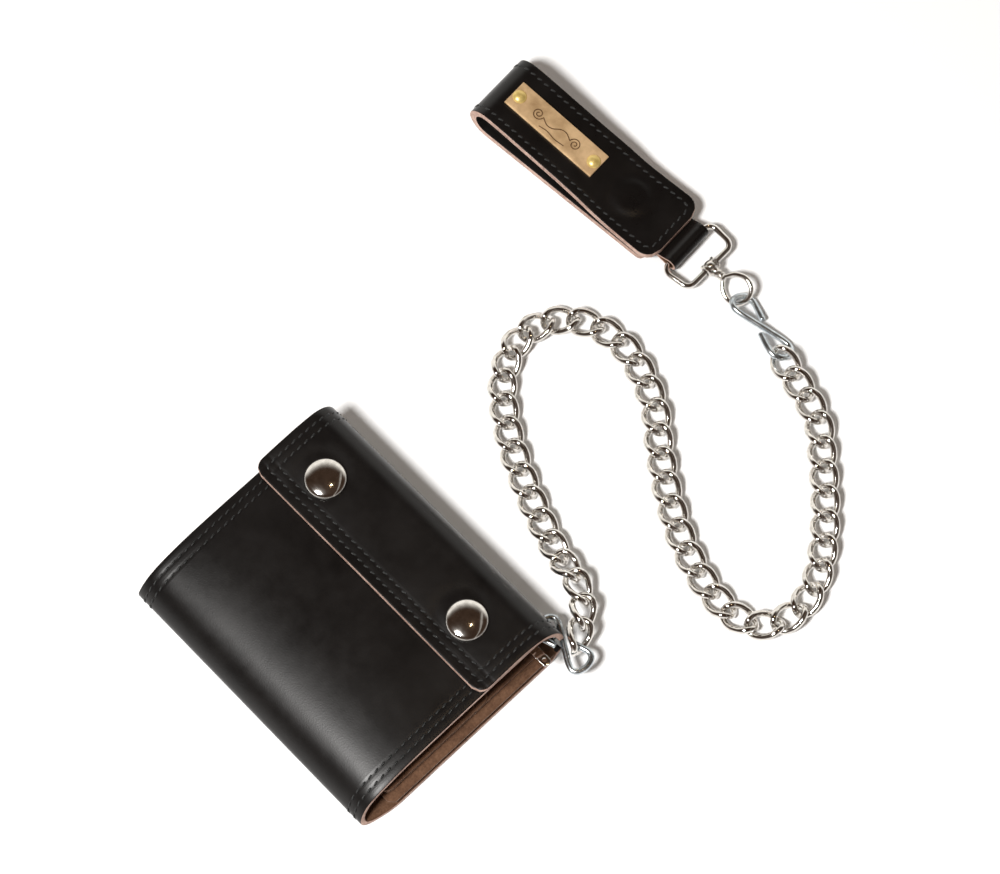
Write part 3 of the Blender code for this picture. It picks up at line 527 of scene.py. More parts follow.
def stitch_shape():
    """One stitch, along X: an arched spindle with its ends below the face."""
    rings, sides = 5, 6
    points, faces = [], []
    for i in range(rings):
        share = i / (rings - 1) * 2 - 1
        radius = thread_radius * (1 - 0.55 * share ** 4)
        lift = 0.08 * mm - 0.45 * mm * share ** 4
        for k in range(sides):
            turn = 2 * math.pi * k / sides
            points.append((share * stitch_length / 2, radius * math.cos(turn),
                           lift + radius * math.sin(turn) * 0.8))
    for i in range(rings - 1):
        for k in range(sides):
            a, b = i * sides + k, i * sides + (k + 1) % sides
            faces.append((a, b, b + sides, a + sides))
    faces.append(tuple(range(sides - 1, -1, -1)))
    faces.append(tuple(range((rings - 1) * sides, rings * sides)))
    return points, faces


def new_piece(name, points, edges, faces, finish):
    """A mesh piece in this finish. It is left selected."""
    data = bpy.data.meshes.new(name)
    data.from_pydata(points, edges, faces)
    data.materials.append(finish)
    made = bpy.data.objects.new(name, data)
    scene.collection.objects.link(made)
    select_only(made)
    return made


def clean_up(merge=0.0):
    """Merges the active piece's points that are this close, and turns its faces outwards."""
    bpy.ops.object.mode_set(mode="EDIT")
    bpy.ops.mesh.select_all(action="SELECT")
    if merge:
        bpy.ops.mesh.remove_doubles(threshold=merge)
    bpy.ops.mesh.normals_make_consistent(inside=False)
    bpy.ops.object.mode_set(mode="OBJECT")


def sew(name, rows, place, lean=0.24):
    """Stitches along rows of flat points, bent with the sheet they are sewn to."""
    shape, shape_faces = stitch_shape()
    points, faces = [], []
    draw = random.Random(11)
    for row in rows:
        line = measured([Vector(p) for p in row])
        count = int(line[1][-1] / stitch_pitch)
        for n in range(count):
            middle = (n + 0.5) * line[1][-1] / count
            spot = on_line(line, middle)
            way = (on_line(line, middle + 0.7 * mm) - on_line(line, middle - 0.7 * mm)).normalized()
            tilt = lean + draw.uniform(-0.05, 0.05)
            way = Vector((way.x * math.cos(tilt) - way.y * math.sin(tilt),
                          way.x * math.sin(tilt) + way.y * math.cos(tilt)))
            start = len(points)
            for x, y, z in shape:
                flat = spot + way * x + Vector((-way.y, way.x)) * y
                points.append(place(flat.x, flat.y, z))
            faces += [tuple(start + i for i in face) for face in shape_faces]
    made = new_piece(name, points, [], faces, thread)
    clean_up()
    bpy.ops.object.shade_smooth_by_angle(angle=math.radians(70))
    return made


front_rows = []
row_points = [i * spine_line[1][-1] / 60 for i in range(3, 58)]
for row in stitch_rows:
    for across in (row - cover_width / 2, cover_width / 2 - row):
        front_rows.append([(along, across) for along in row_points])
front_stitches = sew("cover_front_stitches", front_rows, spine_place)
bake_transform(front_stitches)


def round_the_end(end, half, inset, corner, start):
    """A row that goes up one side, across the far end and down the other side."""
    inner = max(corner - inset, 1.2 * mm)
    side, top = half - inset, end - inset
    steps = 40
    row = [(start + (top - inner - start) * i / steps, -side) for i in range(steps)]
    row += [(top - inner + inner * math.sin(a), -side + inner - inner * math.cos(a))
            for a in (math.pi / 2 * i / 6 for i in range(7))]
    row += [(top, -side + inner + (2 * side - 2 * inner) * i / steps) for i in range(1, steps)]
    row += [(top - inner + inner * math.cos(a), side - inner + inner * math.sin(a))
            for a in (math.pi / 2 * i / 6 for i in range(7))]
    row += [(top - inner - (top - inner - start) * i / steps, side) for i in range(1, steps + 1)]
    return row


flap_rows = [round_the_end(fold_line[1][-1], cover_width / 2, row, flap_corner, 44 * mm)
             for row in stitch_rows]
flap_stitches = sew("cover_flap_stitches", flap_rows, fold_place)
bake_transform(flap_stitches)


# Snap fasteners: pressed nickel-plated brass. A domed cap is riveted through the flap to a spring
# socket, which closes on a stud that a post holds to the front.

def tarnished_metal(name, dark, light, low_gloss, high_gloss, patch_size, scratches=0.03):
    """Plated or bare metal, with faint patches, fine scratches and uneven gloss."""
    made, tree, shader, place = finish_of(name, light, low_gloss, 1.0)
    patches = noise_of(tree, place["Object"], patch_size, 5.0, 0.6)
    shade_between(tree, shader, patches, dark, light, 0.30, 0.60)
    lines = noise_of(tree, place["Object"], 2600.0, 3.0, 0.6, (0.07, 1.0, 0.35))
    gloss = arithmetic(tree, "MULTIPLY_ADD", patches, high_gloss - low_gloss, low_gloss)
    tree.links.new(arithmetic(tree, "MULTIPLY_ADD", lines, 0.06, gloss), shader.inputs["Roughness"])
    raise_by(tree, shader, lines, scratches * mm, 0.35)
    return made


nickel = tarnished_metal("bright_nickel", (0.60, 0.57, 0.53), (0.80, 0.77, 0.73), 0.04, 0.10, 420.0, 0.012)


def turned(name, at, axis, profile, finish, steps=56):
    """A piece turned round its axis from half of its section, given as radius and height."""
    ring = profile[0] == profile[-1]
    points = profile[:-1] if ring else profile
    edges = [(i, i + 1) for i in range(len(points) - 1)] + ([(len(points) - 1, 0)] if ring else [])
    made = new_piece(name, [(r * mm, 0, z * mm) for r, z in points], edges, [], finish)
    apply_modifier(made, "SCREW", steps=steps, render_steps=steps, use_merge_vertices=True,
                   merge_threshold=0.00001)
    clean_up(0.000005)
    made.data.transform(Matrix.Translation(at) @ Vector(axis).to_track_quat("Z", "Y").to_matrix().to_4x4())
    bpy.ops.object.shade_smooth_by_angle(angle=math.radians(40))
    return made


cap_profile = [(0, 2.72), (1.5, 2.66), (3.0, 2.48), (4.4, 2.19), (5.5, 1.88), (6.2, 1.62), (6.65, 1.40),
               (7.0, 1.12), (7.3, 0.76), (7.46, 0.40), (7.48, 0.12), (7.35, -0.08), (6.6, -0.15), (0, -0.15)]
socket_profile = [(2.45, 0), (5.2, 0), (5.55, -0.2), (5.6, -0.5), (5.4, -0.75), (4.4, -0.8), (4.0, -1.2),
                  (3.6, -1.3), (2.9, -1.25), (2.5, -1.0), (2.45, 0)]
stud_profile = [(0, 1.65), (1.4, 1.62), (1.9, 1.4), (2.1, 1.05), (2.0, 0.7), (1.75, 0.45), (1.9, 0.2),
                (3.6, 0.18), (4.4, 0.05), (4.5, -0.02), (0, -0.02)]
post_profile = [(0, 0.5), (4.9, 0.5), (5.2, 0.38), (5.2, 0.12), (4.9, 0.0), (1.6, 0.0), (1.2, 0.12),
                (0, 0.15)]
upright = (0, 0, 1)
for side in ("left", "right"):
    low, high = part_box("snap_cap_" + side)
    spot = (low + high) / 2
    for name, height, profile, steps, node, body in (
            ("snap_cap_dome_", flap_top - 0.35 * mm, cap_profile, 96, "snap_cap_", "flap"),
            ("snap_spring_socket_", 20.0 * mm, socket_profile, 56, "snap_socket_", "flap"),
            ("snap_round_stud_", front_top + 0.35 * mm, stud_profile, 56, "snap_stud_", "front"),
            ("snap_stud_post_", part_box("snap_post_" + side)[0].z, post_profile, 56, "snap_post_", "front")):
        piece = turned(name + side, (spot.x, spot.y, height), upright, profile, nickel, steps)
        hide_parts(node + side)
        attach(piece, body)


# Inner leather: brown suede-sided pieces in layers: the back's lining, a divider for notes, two card
# pockets, and the front's lining. Each is thin, cut with round corners, and lies a little uneven.

inner_edge, tree, shader, place = finish_of("inner_hide_edge", (0.16, 0.085, 0.05), 0.85)
fibres = noise_of(tree, place["Object"], 900.0, 4.0)
shade_between(tree, shader, fibres, (0.09, 0.045, 0.027), (0.24, 0.14, 0.09), 0.35, 0.65)
raise_by(tree, shader, fibres, 0.12 * mm)


def inner_layer(name, node, body, corner, wave, out=0.0):
    low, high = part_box(node)
    width, length, thickness = high.x - low.x, high.y - low.y, high.z - low.z

    def place(along, across, above=0.0):
        x = across + (low.x + high.x) / 2
        y = low.y + along
        lift = wave * (math.sin(x / (17 * mm) + wave * 9000) * math.cos(y / (21 * mm)))
        if body == "front":
            lift -= 0.010 / mm * max(0.0, -17 * mm - y) ** 2
        return Vector((x, y, high.z + lift + above))

    made = flat_hide(name, length + out, width, (40, 48), corner, corner)
    make_hide(made, place, thickness, (suede, inner_edge, suede), 0.15 * mm)
    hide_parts(node)
    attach(made, body)


inner_layer("back_lining_suede", "lining_back", "wallet", 2 * mm, 0.0)
inner_layer("note_divider", "bill_divider", "wallet", 4 * mm, 0.10 * mm)
inner_layer("card_pocket_lower", "card_pocket_1", "wallet", 4 * mm, 0.12 * mm)
inner_layer("card_pocket_upper", "card_pocket_2", "wallet", 4 * mm, 0.11 * mm)
inner_layer("front_lining_suede", "lining_front", "front", 3 * mm, 0.0)


# Coin pocket: one piece of thin brown leather folded at its bottom, its sides drawn together and
# sewn, its mouth closed by the zip.

pouch_low, pouch_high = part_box("coin_pouch")
pouch_middle = (pouch_low.z + pouch_high.z) / 2
pouch_half = (pouch_high.z - pouch_low.z) / 2
pouch_bend = 2.4 * mm
pouch_section = [Vector((pouch_high.y - i * 3 * mm, pouch_high.z)) for i in range(17)]
pouch_section += bow_of((pouch_low.y + pouch_bend, pouch_middle), (pouch_bend, pouch_half), 90, 270, 16)
pouch_section += [Vector((pouch_high.y - (16 - i) * 3 * mm, pouch_low.z)) for i in range(17)]
pouch_line = measured(pouch_section)


def drawn_in(across):
    """How far the coin pocket's mouth closes up, from 0 to 1 at its sides."""
    return eased(abs(across), 38 * mm, 49 * mm)


def pouch_spot(point, across):
    squeeze = 1 - 0.66 * drawn_in(across)
    return Vector((across, point.x, pouch_middle + (point.y - pouch_middle) * squeeze))


pouch_place = sheet_place(pouch_line, pouch_spot)
pouch = flat_hide("coin_pocket", pouch_line[1][-1], pouch_high.x - pouch_low.x, (70, 48))
make_hide(pouch, pouch_place, 0.7 * mm, (suede, inner_edge, suede), 0.12 * mm)
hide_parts("coin_pouch")
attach(pouch, "front")


# Zip: black woven tape, a row of interlocking nickel teeth along its middle, a slider, and a flat
# pull that hangs out of the wallet's side.

tape_cloth, tree, shader, place = finish_of("zip_tape_weave", (0.016, 0.016, 0.017), 0.85)
weave = tree.nodes.new("ShaderNodeTexWave")
weave.inputs["Scale"].default_value = 900
tree.links.new(place["Object"], weave.inputs["Vector"])
raise_by(tree, shader, weave.outputs["Fac"], 0.1 * mm)
shade_between(tree, shader, weave.outputs["Fac"], (0.010, 0.010, 0.011), (0.032, 0.032, 0.034))

zip_low, zip_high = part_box("coin_zip")
tape_length = zip_high.x - zip_low.x


def tape_spot(along, across, above=0.0):
    x = zip_low.x + along
    squeeze = 1 - 0.6 * drawn_in(x)
    return Vector((x, zip_low.y + 0.9 * mm + above, pouch_middle - across * squeeze))


tape = flat_hide("zip_tape", tape_length, zip_high.z - zip_low.z, (60, 8))
make_hide(tape, tape_spot, 0.8 * mm, (tape_cloth, tape_cloth, tape_cloth), 0.1 * mm)
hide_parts("coin_zip")
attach(tape, "front")

bpy.ops.object.select_all(action="DESELECT")
bpy.ops.mesh.primitive_cube_add(size=1)
tooth = bpy.context.object
tooth.data.transform(Matrix.Diagonal((0.75 * mm, 0.6 * mm, 1.7 * mm, 1)))
apply_modifier(tooth, "BEVEL", width=0.12 * mm, segments=1)
tooth_count = 70
teeth_points, teeth_faces = [], []
for n in range(tooth_count):
    x = zip_low.x + tape_length * (n + 0.5) / tooth_count
    shift = Vector((x, zip_low.y + 1.15 * mm, pouch_middle + (0.35 * mm if n % 2 else -0.35 * mm)))
    start = len(teeth_points)
    teeth_points += [vertex.co + shift for vertex in tooth.data.vertices]
    teeth_faces += [tuple(start + i for i in face.vertices) for face in tooth.data.polygons]
bpy.data.objects.remove(tooth, do_unlink=True)
teeth = new_piece("zip_teeth", teeth_points, [], teeth_faces, nickel)
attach(teeth, "front")

slide_spot = sum(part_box("zip_slider"), Vector()) / 2
bpy.ops.object.select_all(action="DESELECT")
bpy.ops.mesh.primitive_cube_add(size=1)
slider = bpy.context.object
slider.name = slider.data.name = "zip_slider_body"
slider.data.transform(Matrix.Translation(slide_spot) @ Matrix.Diagonal((8 * mm, 2.4 * mm, 3.2 * mm, 1)))
for vertex in slider.data.vertices:
    if vertex.co.x < slide_spot.x:
        vertex.co.z = slide_spot.z + (vertex.co.z - slide_spot.z) * 0.72
apply_modifier(slider, "BEVEL", width=0.6 * mm, segments=4)
bpy.ops.object.shade_smooth_by_angle(angle=math.radians(40))
slider.data.materials.append(nickel)
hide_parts("zip_slider")
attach(slider, "zip_runner")

pull_low, pull_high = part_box("zip_pull")
pull_spot = (pull_low + pull_high) / 2
pull_half_width = 1.75 * mm
reach = (pull_high.x - pull_low.x) / 2 - pull_half_width
bpy.ops.object.select_all(action="DESELECT")
bpy.ops.mesh.primitive_cylinder_add(vertices=40, radius=pull_half_width, depth=0.8 * mm, location=pull_spot)
pull = bpy.context.object
pull.name = pull.data.name = "zip_pull_tag"
bpy.ops.object.transform_apply(location=True, rotation=True, scale=True)
for vertex in pull.data.vertices:
    vertex.co.x += reach if vertex.co.x > pull_spot.x else -reach
apply_modifier(pull, "BEVEL", width=0.2 * mm, segments=3, limit_method="ANGLE")
bpy.ops.mesh.primitive_cylinder_add(vertices=24, radius=0.8 * mm, depth=3 * mm,
                                    location=(pull_high.x - 2.2 * mm, pull_spot.y, pull_spot.z))
cut_away(pull, bpy.context.object)
bpy.ops.object.shade_smooth_by_angle(angle=math.radians(35))
pull.data.materials.append(nickel)
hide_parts("zip_pull")
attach(pull, "zip_runner")


# Eyelet in the fold: a rolled nickel tube with a washer inside, set through the leather near its
# end, for the S-hook.

eyelet_low, eyelet_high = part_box("hook_eyelet")
eyelet_spot = Vector(((eyelet_low.x + eyelet_high.x) / 2, 46.5 * mm, (eyelet_low.z + eyelet_high.z) / 2))
eyelet = turned("rolled_eyelet", eyelet_spot, (0, 1, 0),
                [(1.9, -1.9), (2.3, -1.9), (2.3, 0.1), (3.1, 0.05), (3.3, 0.2), (3.25, 0.45), (2.9, 0.62),
                 (2.3, 0.62), (2.0, 0.4), (1.9, -0.1), (1.9, -1.9)], nickel, 40)
washer = turned("eyelet_back_washer", eyelet_spot, (0, 1, 0),
                [(1.95, -2.3), (3.2, -2.3), (3.3, -2.45), (3.2, -2.6), (1.95, -2.6), (1.95, -2.3)],
                nickel, 40)
for piece, node in ((eyelet, "hook_eyelet"), (washer, "eyelet_washer")):
    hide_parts(node)
    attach(piece, "wallet")


# S-hook at the wallet: zinc-plated steel wire, 2.3 mm, bent into two teardrop loops whose ends are
# cut and slightly rounded. One loop is in the eyelet, the other in the chain's first link.

zinc = tarnished_metal("dull_zinc", (0.36, 0.40, 0.43), (0.66, 0.71, 0.74), 0.14, 0.30, 260.0, 0.03)


def bent_wire(name, points, diameter, finish, place, closed=False, sides=14, waist=()):
    """Round wire along a line. An open one gets rounded ends, and waist narrows some points."""
    curve = bpy.data.curves.new(name, "CURVE")
    curve.dimensions = "3D"
    curve.bevel_depth = diameter / 2
    curve.bevel_resolution = (sides - 4) // 2
    curve.use_fill_caps = not closed
    sizes = [1.0] * len(points)
    if not closed:
        tip = diameter / 2
        first, last = (points[1] - points[0]).normalized(), (points[-1] - points[-2]).normalized()
        cap = [(0.0, 0.72), (0.12, 0.90), (0.35, 1.0)]
        points = ([points[0] + first * tip * a for a, _ in cap] + list(points[1:-1])
                  + [points[-1] - last * tip * a for a, _ in cap[::-1]])
        sizes = [b for _, b in cap] + sizes[:-2] + [b for _, b in cap[::-1]]
    for index, size in waist:
        sizes[index] = size
    spline = curve.splines.new("POLY")
    spline.points.add(len(points) - 1)
    for target, point, size in zip(spline.points, points, sizes):
        target.co = (*point, 1)
        target.radius = size
    spline.use_cyclic_u = closed
    made = bpy.data.objects.new(name, curve)
    scene.collection.objects.link(made)
    select_only(made)
    bpy.ops.object.convert(target="MESH")
    made = bpy.context.object
    clean_up(0.000002)
    made.data.transform(place)
    made.data.materials.clear()
    made.data.materials.append(finish)
    bpy.ops.object.shade_smooth_by_angle(angle=math.radians(60))
    return made


def hook_line(size, steps=8):
    """The middle line of an S-hook in its own XY, the same after half a turn."""
    length, width = size
    half = [Vector((length * u, width * v, 0)) for u, v in (
        (0.22, 0.34), (0.52, 0.80), (0.76, 1.0), (0.93, 0.72), (1.0, 0.0), (0.92, -0.70),
        (0.74, -0.98), (0.50, -0.86), (0.14, -0.54))]
    return smooth_line([-p for p in half[::-1]] + half, steps)


def frame_at(at, along, up=Vector((0, 0, 1))):
    x = along.normalized()
    y = up.cross(x).normalized()
    z = x.cross(y)
    return Matrix.Translation(at) @ Matrix((x, y, z)).transposed().to_4x4()


def heading(degrees):
    """A level direction, this far round from X."""
    return Vector((math.cos(math.radians(degrees)), math.sin(math.radians(degrees)), 0))


hook_wire = 2.3 * mm
wallet_hook_frame = frame_at(Vector((57.3, 45.5, 8.0)) * mm, heading(0), Vector((0, 0, -1)))
wallet_hook = bent_wire("wallet_hook_wire", hook_line((11.1 * mm, 4.35 * mm)), hook_wire, zinc,
                        wallet_hook_frame)
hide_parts("wallet_s_hook")
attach(wallet_hook, "wallet_hook")


# Curb chain: 44 oval links of 2.35 mm nickel-plated steel wire. Each link is twisted so that the
# chain lies flat, and its wire is closed by a butt weld in the middle of one side.

link_count = 44
link_wire = 2.35 * mm
link_width = 10.8 * mm
link_slack = 1.9 * mm
link_twist = math.radians(-52)
link_squareness = 0.85
chain_route = in_mm((
    (58.83, 51.02, 8.6), (55.45, 56.2, 8.49), (48.3, 62.6, 7.26), (40.2, 65.0, 7.74),
    (32.0, 67.2, 4.75), (17.4, 72.3, 3.35), (0.2, 79.5, 3.25), (-15.4, 88.3, 3.25),
    (-28.6, 99.6, 3.25), (-35.0, 115.0, 3.25), (-29.6, 129.3, 3.25), (-17.5, 136.6, 3.25),
    (-3.2, 137.4, 3.25), (14.9, 130.6, 3.25), (29.7, 119.2, 3.25), (44.2, 109.3, 3.25),
    (60.0, 101.0, 3.25), (76.0, 96.2, 3.25), (90.0, 95.8, 3.25), (99.6, 101.4, 3.25),
    (103.2, 112.4, 3.25), (100.6, 123.8, 3.25), (94.0, 134.6, 3.25), (84.0, 146.0, 3.25),
    (71.0, 158.0, 3.35), (57.9, 168.0, 3.55), (37.0, 173.8, 4.8)))
# turn of the chain's first and last link, and how many links it dies out over
wallet_end_roll = (math.radians(42), 5.84)
belt_end_roll = (math.radians(-20), 2.8)
chain_line = measured(smooth_line(chain_route, 40))
link_pitch = chain_line[1][-1] / (link_count - 1)


def chain_point(distance):
    points, runs = chain_line
    if distance <= 0:
        return points[0] + (points[1] - points[0]).normalized() * distance
    if distance >= runs[-1]:
        return points[-1] + (points[-1] - points[-2]).normalized() * (distance - runs[-1])
    return on_line(chain_line, distance)


def link_frame(index):
    roll = wallet_end_roll[0] * max(0.0, 1 - index / wallet_end_roll[1])
    roll += belt_end_roll[0] * max(0.0, 1 - (link_count - 1 - index) / belt_end_roll[1])
    along = chain_point((index + 0.5) * link_pitch) - chain_point((index - 0.5) * link_pitch)
    return frame_at(chain_point(index * link_pitch), along) @ Matrix.Rotation(roll, 4, "X")


link_line = []
link_steps = 56
for i in range(link_steps):
    turn = 2 * math.pi * i / link_steps
    twist = link_twist * math.cos(turn)
    along, across = (math.copysign(abs(v) ** link_squareness, v) for v in (math.cos(turn), math.sin(turn)))
    across *= (link_width - link_wire) / 2
    link_line.append(Vector(((link_pitch + link_wire + link_slack / 2) / 2 * along, across * math.cos(twist),
                             across * math.sin(twist))))
weld = link_steps // 4
link_pattern = bent_wire("link_pattern", link_line, link_wire, nickel, Matrix.Identity(4), True, 14,
                         [(weld - 1, 1.03), (weld, 0.955), (weld + 1, 1.03)])
for index in range(link_count):
    pair = f"{index // 2 * 2 + 1:02d}_{index // 2 * 2 + 2:02d}"
    data = link_pattern.data.copy()
    data.transform(link_frame(index))
    link = bpy.data.objects.new(f"curb_link_{index + 1:02d}", data)
    scene.collection.objects.link(link)
    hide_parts("chain_links_" + pair)
    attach(link, "chain_" + pair)
bpy.data.objects.remove(link_pattern, do_unlink=True)


# S-hook at the belt end: the same zinc-plated wire in a larger size. It joins the last link to the
# swivel's eye.

belt_hook_frame = (frame_at(Vector((21.3, 178.2, 3.9)) * mm, heading(-7.7))
                   @ Matrix.Rotation(math.radians(-28), 4, "X"))
belt_hook = bent_wire("belt_hook_wire", hook_line((14.2 * mm, 4.6 * mm)), hook_wire, zinc, belt_hook_frame)
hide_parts("belt_s_hook")
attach(belt_hook, "belt_hook")


# Pear-shaped eye: 1.9 mm nickel-plated wire, its two ends joined in a shank that turns in the swivel
# barrel behind a small collar.

ring_at = Vector((-18.8, 180.6, 4.6)) * mm
ring_length = 11.6 * mm
ring_frame = frame_at(ring_at, heading(3))
swivel_frame = ring_frame @ Matrix.Translation((ring_length, 0, 0))
eye_frame = swivel_frame @ Matrix.Rotation(math.radians(35), 4, "X")
eye_reach = 12.7 * mm
eye_radius = 5.2 * mm
eye_neck = eye_reach - eye_radius * 1.3
pear = [(-1.08, -0.34), (-0.72, -0.74), (0.0, -1.0), (0.72, -0.70), (1.0, 0.0), (0.72, 0.70), (0.0, 1.0),
        (-0.72, 0.74), (-1.08, 0.34)]
pear_points = smooth_line([Vector((eye_reach + eye_radius * u, eye_radius * v, 0)) for u, v in pear], 7)
eye_loop = bent_wire("pear_eye_wire", pear_points + [Vector((eye_neck, 0, 0))], 1.9 * mm, nickel, eye_frame,
                     True)
shank = turned("pear_eye_shank", (0, 0, 0), upright,
               [(0, 3.0), (0.55, 3.0), (0.85, 3.3), (0.85, 4.5), (1.5, 4.6), (1.75, 4.9), (1.75, 5.3),
                (1.5, 5.6), (1.55, 5.9), (1.75, 6.2), (1.6, 6.8), (1.2, 7.1), (0, 7.3)], nickel, 40)
shank.data.transform(eye_frame @ Matrix.Rotation(math.pi / 2, 4, "Y"))
for piece in (eye_loop, shank):
    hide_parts("pear_eye")
    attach(piece, "pear_eye")


# Swivel barrel: a nickel-plated bead on the ring's far bar, beaded at both ends, with a short neck
# that holds the eye's shank.

barrel = turned("swivel_bead", (0, 0, 0), upright,
                [(1.45, -2.8), (2.2, -2.8), (2.5, -2.6), (2.55, -2.1), (2.15, -1.75), (2.1, -1.3),
                 (2.4, -1.0), (2.5, 0), (2.4, 1.0), (2.1, 1.3), (2.15, 1.75), (2.55, 2.1), (2.5, 2.6),
                 (2.2, 2.8), (1.45, 2.8), (1.45, -2.8)], nickel, 48)
barrel.data.transform(swivel_frame @ Matrix.Rotation(math.pi / 2, 4, "X"))
neck = turned("swivel_neck", (0, 0, 0), upright,
              [(1.2, 2.0), (1.8, 2.0), (1.6, 2.6), (1.65, 3.2), (1.9, 3.5), (1.9, 4.0), (1.6, 4.3),
               (1.2, 4.35), (1.2, 2.0)], nickel, 40)
neck.data.transform(swivel_frame @ Matrix.Rotation(math.pi / 2, 4, "Y"))
for piece in (barrel, neck):
    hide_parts("swivel_barrel")
    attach(piece, "swivel")


# D-ring: 2.2 mm nickel-plated wire bent to a rounded frame, its wide bar held in the leather tab.

def ring_line():
    wide, narrow, corner = 12.3 * mm, 11.8 * mm, 3.2 * mm
    line = []
    for x, y, start in ((0, -wide, 180), (ring_length, -narrow, 270), (ring_length, narrow, 0),
                        (0, wide, 90)):
        centre = (x + (corner if x == 0 else -corner), y + (corner if y < 0 else -corner))
        line += bow_of(centre, (corner, corner), start, start + 90, 10)
    dense = []
    for a, b in zip(line, line[1:] + line[:1]):
        steps = max(1, int((b - a).length / (1.5 * mm)))
        dense += [a.lerp(b, i / steps).to_3d() for i in range(steps)]
    return dense


d_ring = bent_wire("d_ring_wire", ring_line(), 2.2 * mm, nickel, ring_frame, True, 16)
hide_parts("d_ring")
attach(d_ring, "ring")


# Belt loop: a strap of the same black hide, lined and sewn round its edge, folded back on itself so
# that a belt passes through. A hidden snap holds the upper run's end, and shows as a round bump.

strap_frame = frame_at(Vector((-109.5, 173.3, 0)) * mm, heading(4.6))
strap_width = 27 * mm
strap_thickness = 2.9 * mm
strap_end = 86 * mm
strap_corner = 6 * mm
strap_stitch_row = 2.9 * mm


def across_strap(point, across):
    return strap_frame @ Vector((point.x, -across, point.y))


strap_section = smooth_line(in_mm((
    (86, 8.4), (80, 8.45), (73, 8.5), (66, 8.6), (60, 9.1), (55, 10.1), (49.5, 11.2), (39, 12.6), (29, 13.9),
    (19, 15.2), (12, 16.0), (7.8, 16.2))), 5)
strap_section += bow_of((7.8 * mm, 8.1 * mm), (7.8 * mm, 8.1 * mm), 90, 270, 36)[1:]
strap_section += [Vector((10 + 2 * i, 0)) * mm for i in range(37)]
strap_line = measured(strap_section)
strap_length = strap_line[1][-1]
snap_along = 65 * mm
snap_bump = strap_end - snap_along


def strap_swell(along, across):
    off = math.hypot(along - snap_bump, across) / mm
    bump = 0.55 * mm / (1 + math.exp((off - 6.2) * 1.6))
    return bump - 0.12 * mm * math.exp(-((off - 9) / 2.2) ** 2)


strap_hide = polished_hide("polished_hide_strap", [strap_width / 2 - strap_stitch_row], [-strap_stitch_row],
                           0.0, 0.30)
strap_inside = polished_hide("polished_hide_lining", [strap_width / 2 - strap_stitch_row], gloss=0.42)


def strap_edges(along):
    """The strap is a little wider at its end than over the fold."""
    spread = 0.9 * mm * max(0.0, 1 - along / (45 * mm))
    return strap_width, -spread, spread


strap_place = sheet_place(strap_line, across_strap, strap_swell, strap_edges)
strap = flat_hide("belt_loop_strap", strap_length, strap_width, (150, 34), 3 * mm, strap_corner)
make_hide(strap, strap_place, strap_thickness, (strap_hide, raw_edge, strap_inside), 0.35 * mm)
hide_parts("strap_lower_outer", "strap_lower_lining", "strap_upper_outer", "strap_upper_lining")
strap_bend = ((-0.1095, 0.1733, 0.0033), (-0.1095, 0.1733, 0.0053))
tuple(strap_bend[0])
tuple(strap_bend[1])
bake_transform(strap)

strap_row = [(strap_length - along, across) for along, across in
             round_the_end(strap_length, strap_width / 2, strap_stitch_row, strap_corner, 4 * mm)]
strap_stitches = sew("belt_loop_stitches", [strap_row], strap_place)
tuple(strap_bend[0])
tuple(strap_bend[1])
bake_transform(strap_stitches)


# Ring tab: a short folded strip of thin black hide sewn between the strap's runs, round the D-ring.

tab_end = (strap_frame.inverted() @ ring_at).x
tab_hide_thickness = 0.9 * mm
tab_start, tab_nip = 72 * mm, tab_end - 5.4 * mm
tab_low, tab_high = 3.2 * mm, 5.3 * mm
tab_section = [Vector((tab_start, tab_low)), Vector((tab_nip, tab_low))]
tab_section += bow_of((tab_end, ring_at.z), (2.75 * mm, 2.75 * mm), 250, 470, 30)
tab_section += [Vector((tab_nip, tab_high)), Vector((tab_start, tab_high))]
tab_line = measured(tab_section)
tab_hide = polished_hide("polished_hide_tab", [7.6 * mm], gloss=0.28)
tab_place = sheet_place(tab_line, across_strap)
tab = flat_hide("ring_tab", tab_line[1][-1], 18.6 * mm, (90, 20))
make_hide(tab, tab_place, tab_hide_thickness, (tab_hide, raw_edge, suede), 0.15 * mm)
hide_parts("dring_tab")
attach(tab, "belt_loop")


# Hidden snap of the belt loop: the same pressed nickel parts, between the two runs.

strap_snap_spot = strap_frame @ Vector((snap_along, 0, 0))
strap_stud = turned("strap_round_stud", (strap_snap_spot.x, strap_snap_spot.y, 3.3 * mm), upright,
                    [(0, 1.65), (1.4, 1.62), (1.9, 1.4), (2.1, 1.05), (1.9, 0.6), (4.3, 0.45), (4.6, 0.2),
                     (4.5, -0.05), (0, -0.05)], nickel, 40)
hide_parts("strap_snap_stud")
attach(strap_stud, "belt_loop")
strap_socket = turned("strap_spring_socket", (strap_snap_spot.x, strap_snap_spot.y, 4.0 * mm), upright,
                      [(2.45, 1.25), (4.4, 1.25), (4.6, 1.0), (4.6, 0.4), (4.3, 0.1), (3.0, 0.0), (2.5, 0.2),
                       (2.45, 1.25)], nickel, 40)
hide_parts("strap_snap_socket")
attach(strap_socket, "strap_fold")


# Plate: a strip of aged brass with sharp corners, engraved with a plain scroll, and held to the
# strap by two domed brass rivets.

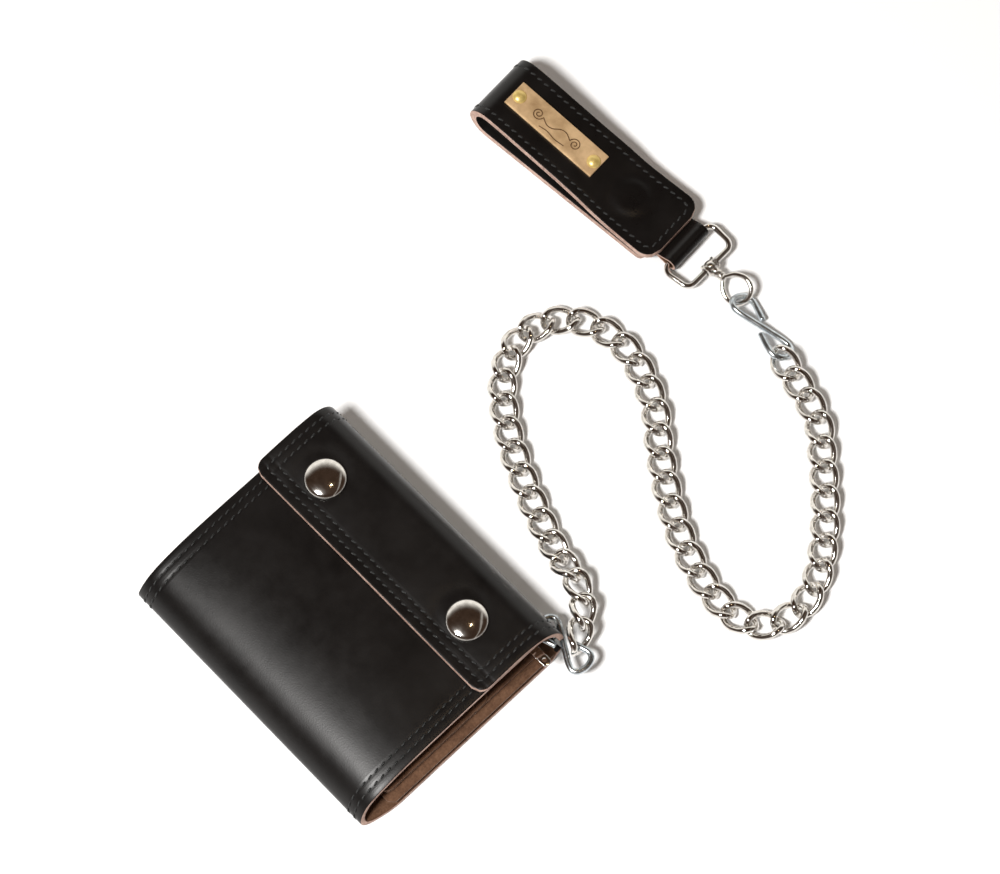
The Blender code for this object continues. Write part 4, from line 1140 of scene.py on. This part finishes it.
brass = tarnished_metal("aged_brass", (0.40, 0.25, 0.12), (0.68, 0.47, 0.26), 0.38, 0.55, 110.0, 0.05)
bright_brass = tarnished_metal("rivet_brass", (0.56, 0.40, 0.12), (0.80, 0.60, 0.22), 0.26, 0.38, 300.0, 0.02)
for worn in (brass, bright_brass):
    worn.node_tree.nodes["Principled BSDF"].inputs["Metallic"].default_value = 0.45
engraving, tree, shader, place = finish_of("engraved_line", (0.13, 0.07, 0.03), 0.55, 0.6)
shade_between(tree, shader, noise_of(tree, place["Object"], 900.0), (0.09, 0.045, 0.02), (0.22, 0.13, 0.06))
plate_slope = strap_frame.to_3x3() @ Vector((20, 0, -2.6))
plate_frame = frame_at(strap_frame @ (Vector((29.3, 0.2, 14.5)) * mm), plate_slope)
plate_thickness = 0.9 * mm
plate_face = plate_thickness / 2
bpy.ops.object.select_all(action="DESELECT")
bpy.ops.mesh.primitive_grid_add(x_subdivisions=40, y_subdivisions=10, size=1)
plate = bpy.context.object
plate.name = plate.data.name = "brass_plate"
plate.data.transform(Matrix.Diagonal((41 * mm, 10.4 * mm, 1, 1)))
plate.data.transform(Matrix.Translation((0, 0, plate_face)))
plate.data.materials.append(brass)
apply_modifier(plate, "SOLIDIFY", thickness=plate_thickness, offset=-1.0)
apply_modifier(plate, "BEVEL", width=0.12 * mm, segments=2, limit_method="ANGLE",
               angle_limit=math.radians(60))
plate.data.transform(plate_frame)
bpy.ops.object.shade_smooth_by_angle(angle=math.radians(40))
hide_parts("name_plate")
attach(plate, "strap_fold")


def spiral(centre, start, turns, steps=44):
    """A flat coil that winds outwards, from a small eye to 2.3 mm."""
    line = []
    for i in range(steps + 1):
        share = i / steps
        turn = start + turns * 2 * math.pi * share
        reach = (0.35 + 1.95 * share) * mm
        line.append(Vector((centre * mm + reach * math.cos(turn), reach * math.sin(turn), 0.46 * mm)))
    return line


left_coil = spiral(-8.6, math.radians(90), 1.75)
right_coil = spiral(8.6, math.radians(270), 1.75)
between = in_mm(((-3.6, -1.3, 0.46), (-1.2, -0.9, 0.46), (1.2, 0.9, 0.46), (3.6, 1.3, 0.46)))
wave = smooth_line([*left_coil[-2:], *between, right_coil[-1], right_coil[-2]], 8)
scroll = left_coil + wave[9:-9] + right_coil[::-1]
swash = smooth_line(in_mm(((-5.5, -3.5, 0.46), (-2, -3.0, 0.46), (2, -3.5, 0.46), (6, -3.1, 0.46))), 10)
for name, line in (("plate_scroll", scroll), ("plate_swash", swash)):
    stroke = bent_wire(name, line, 0.42 * mm, engraving, plate_frame, False, 6)
    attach(stroke, "strap_fold")

plate_up = plate_frame.to_3x3() @ Vector(upright)
for number, along in ((1, -17.75 * mm), (2, 17.75 * mm)):
    spot = plate_frame @ Vector((along, 0, plate_face))
    rivet = turned(f"domed_rivet_{number}", spot, plate_up,
                   [(0, 1.35), (0.8, 1.28), (1.5, 1.05), (2.05, 0.74), (2.4, 0.40), (2.6, 0.10),
                    (2.55, -0.02), (0, -0.02)], bright_brass, 48)
    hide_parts(f"plate_rivet_{number}")
    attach(rivet, "strap_fold")
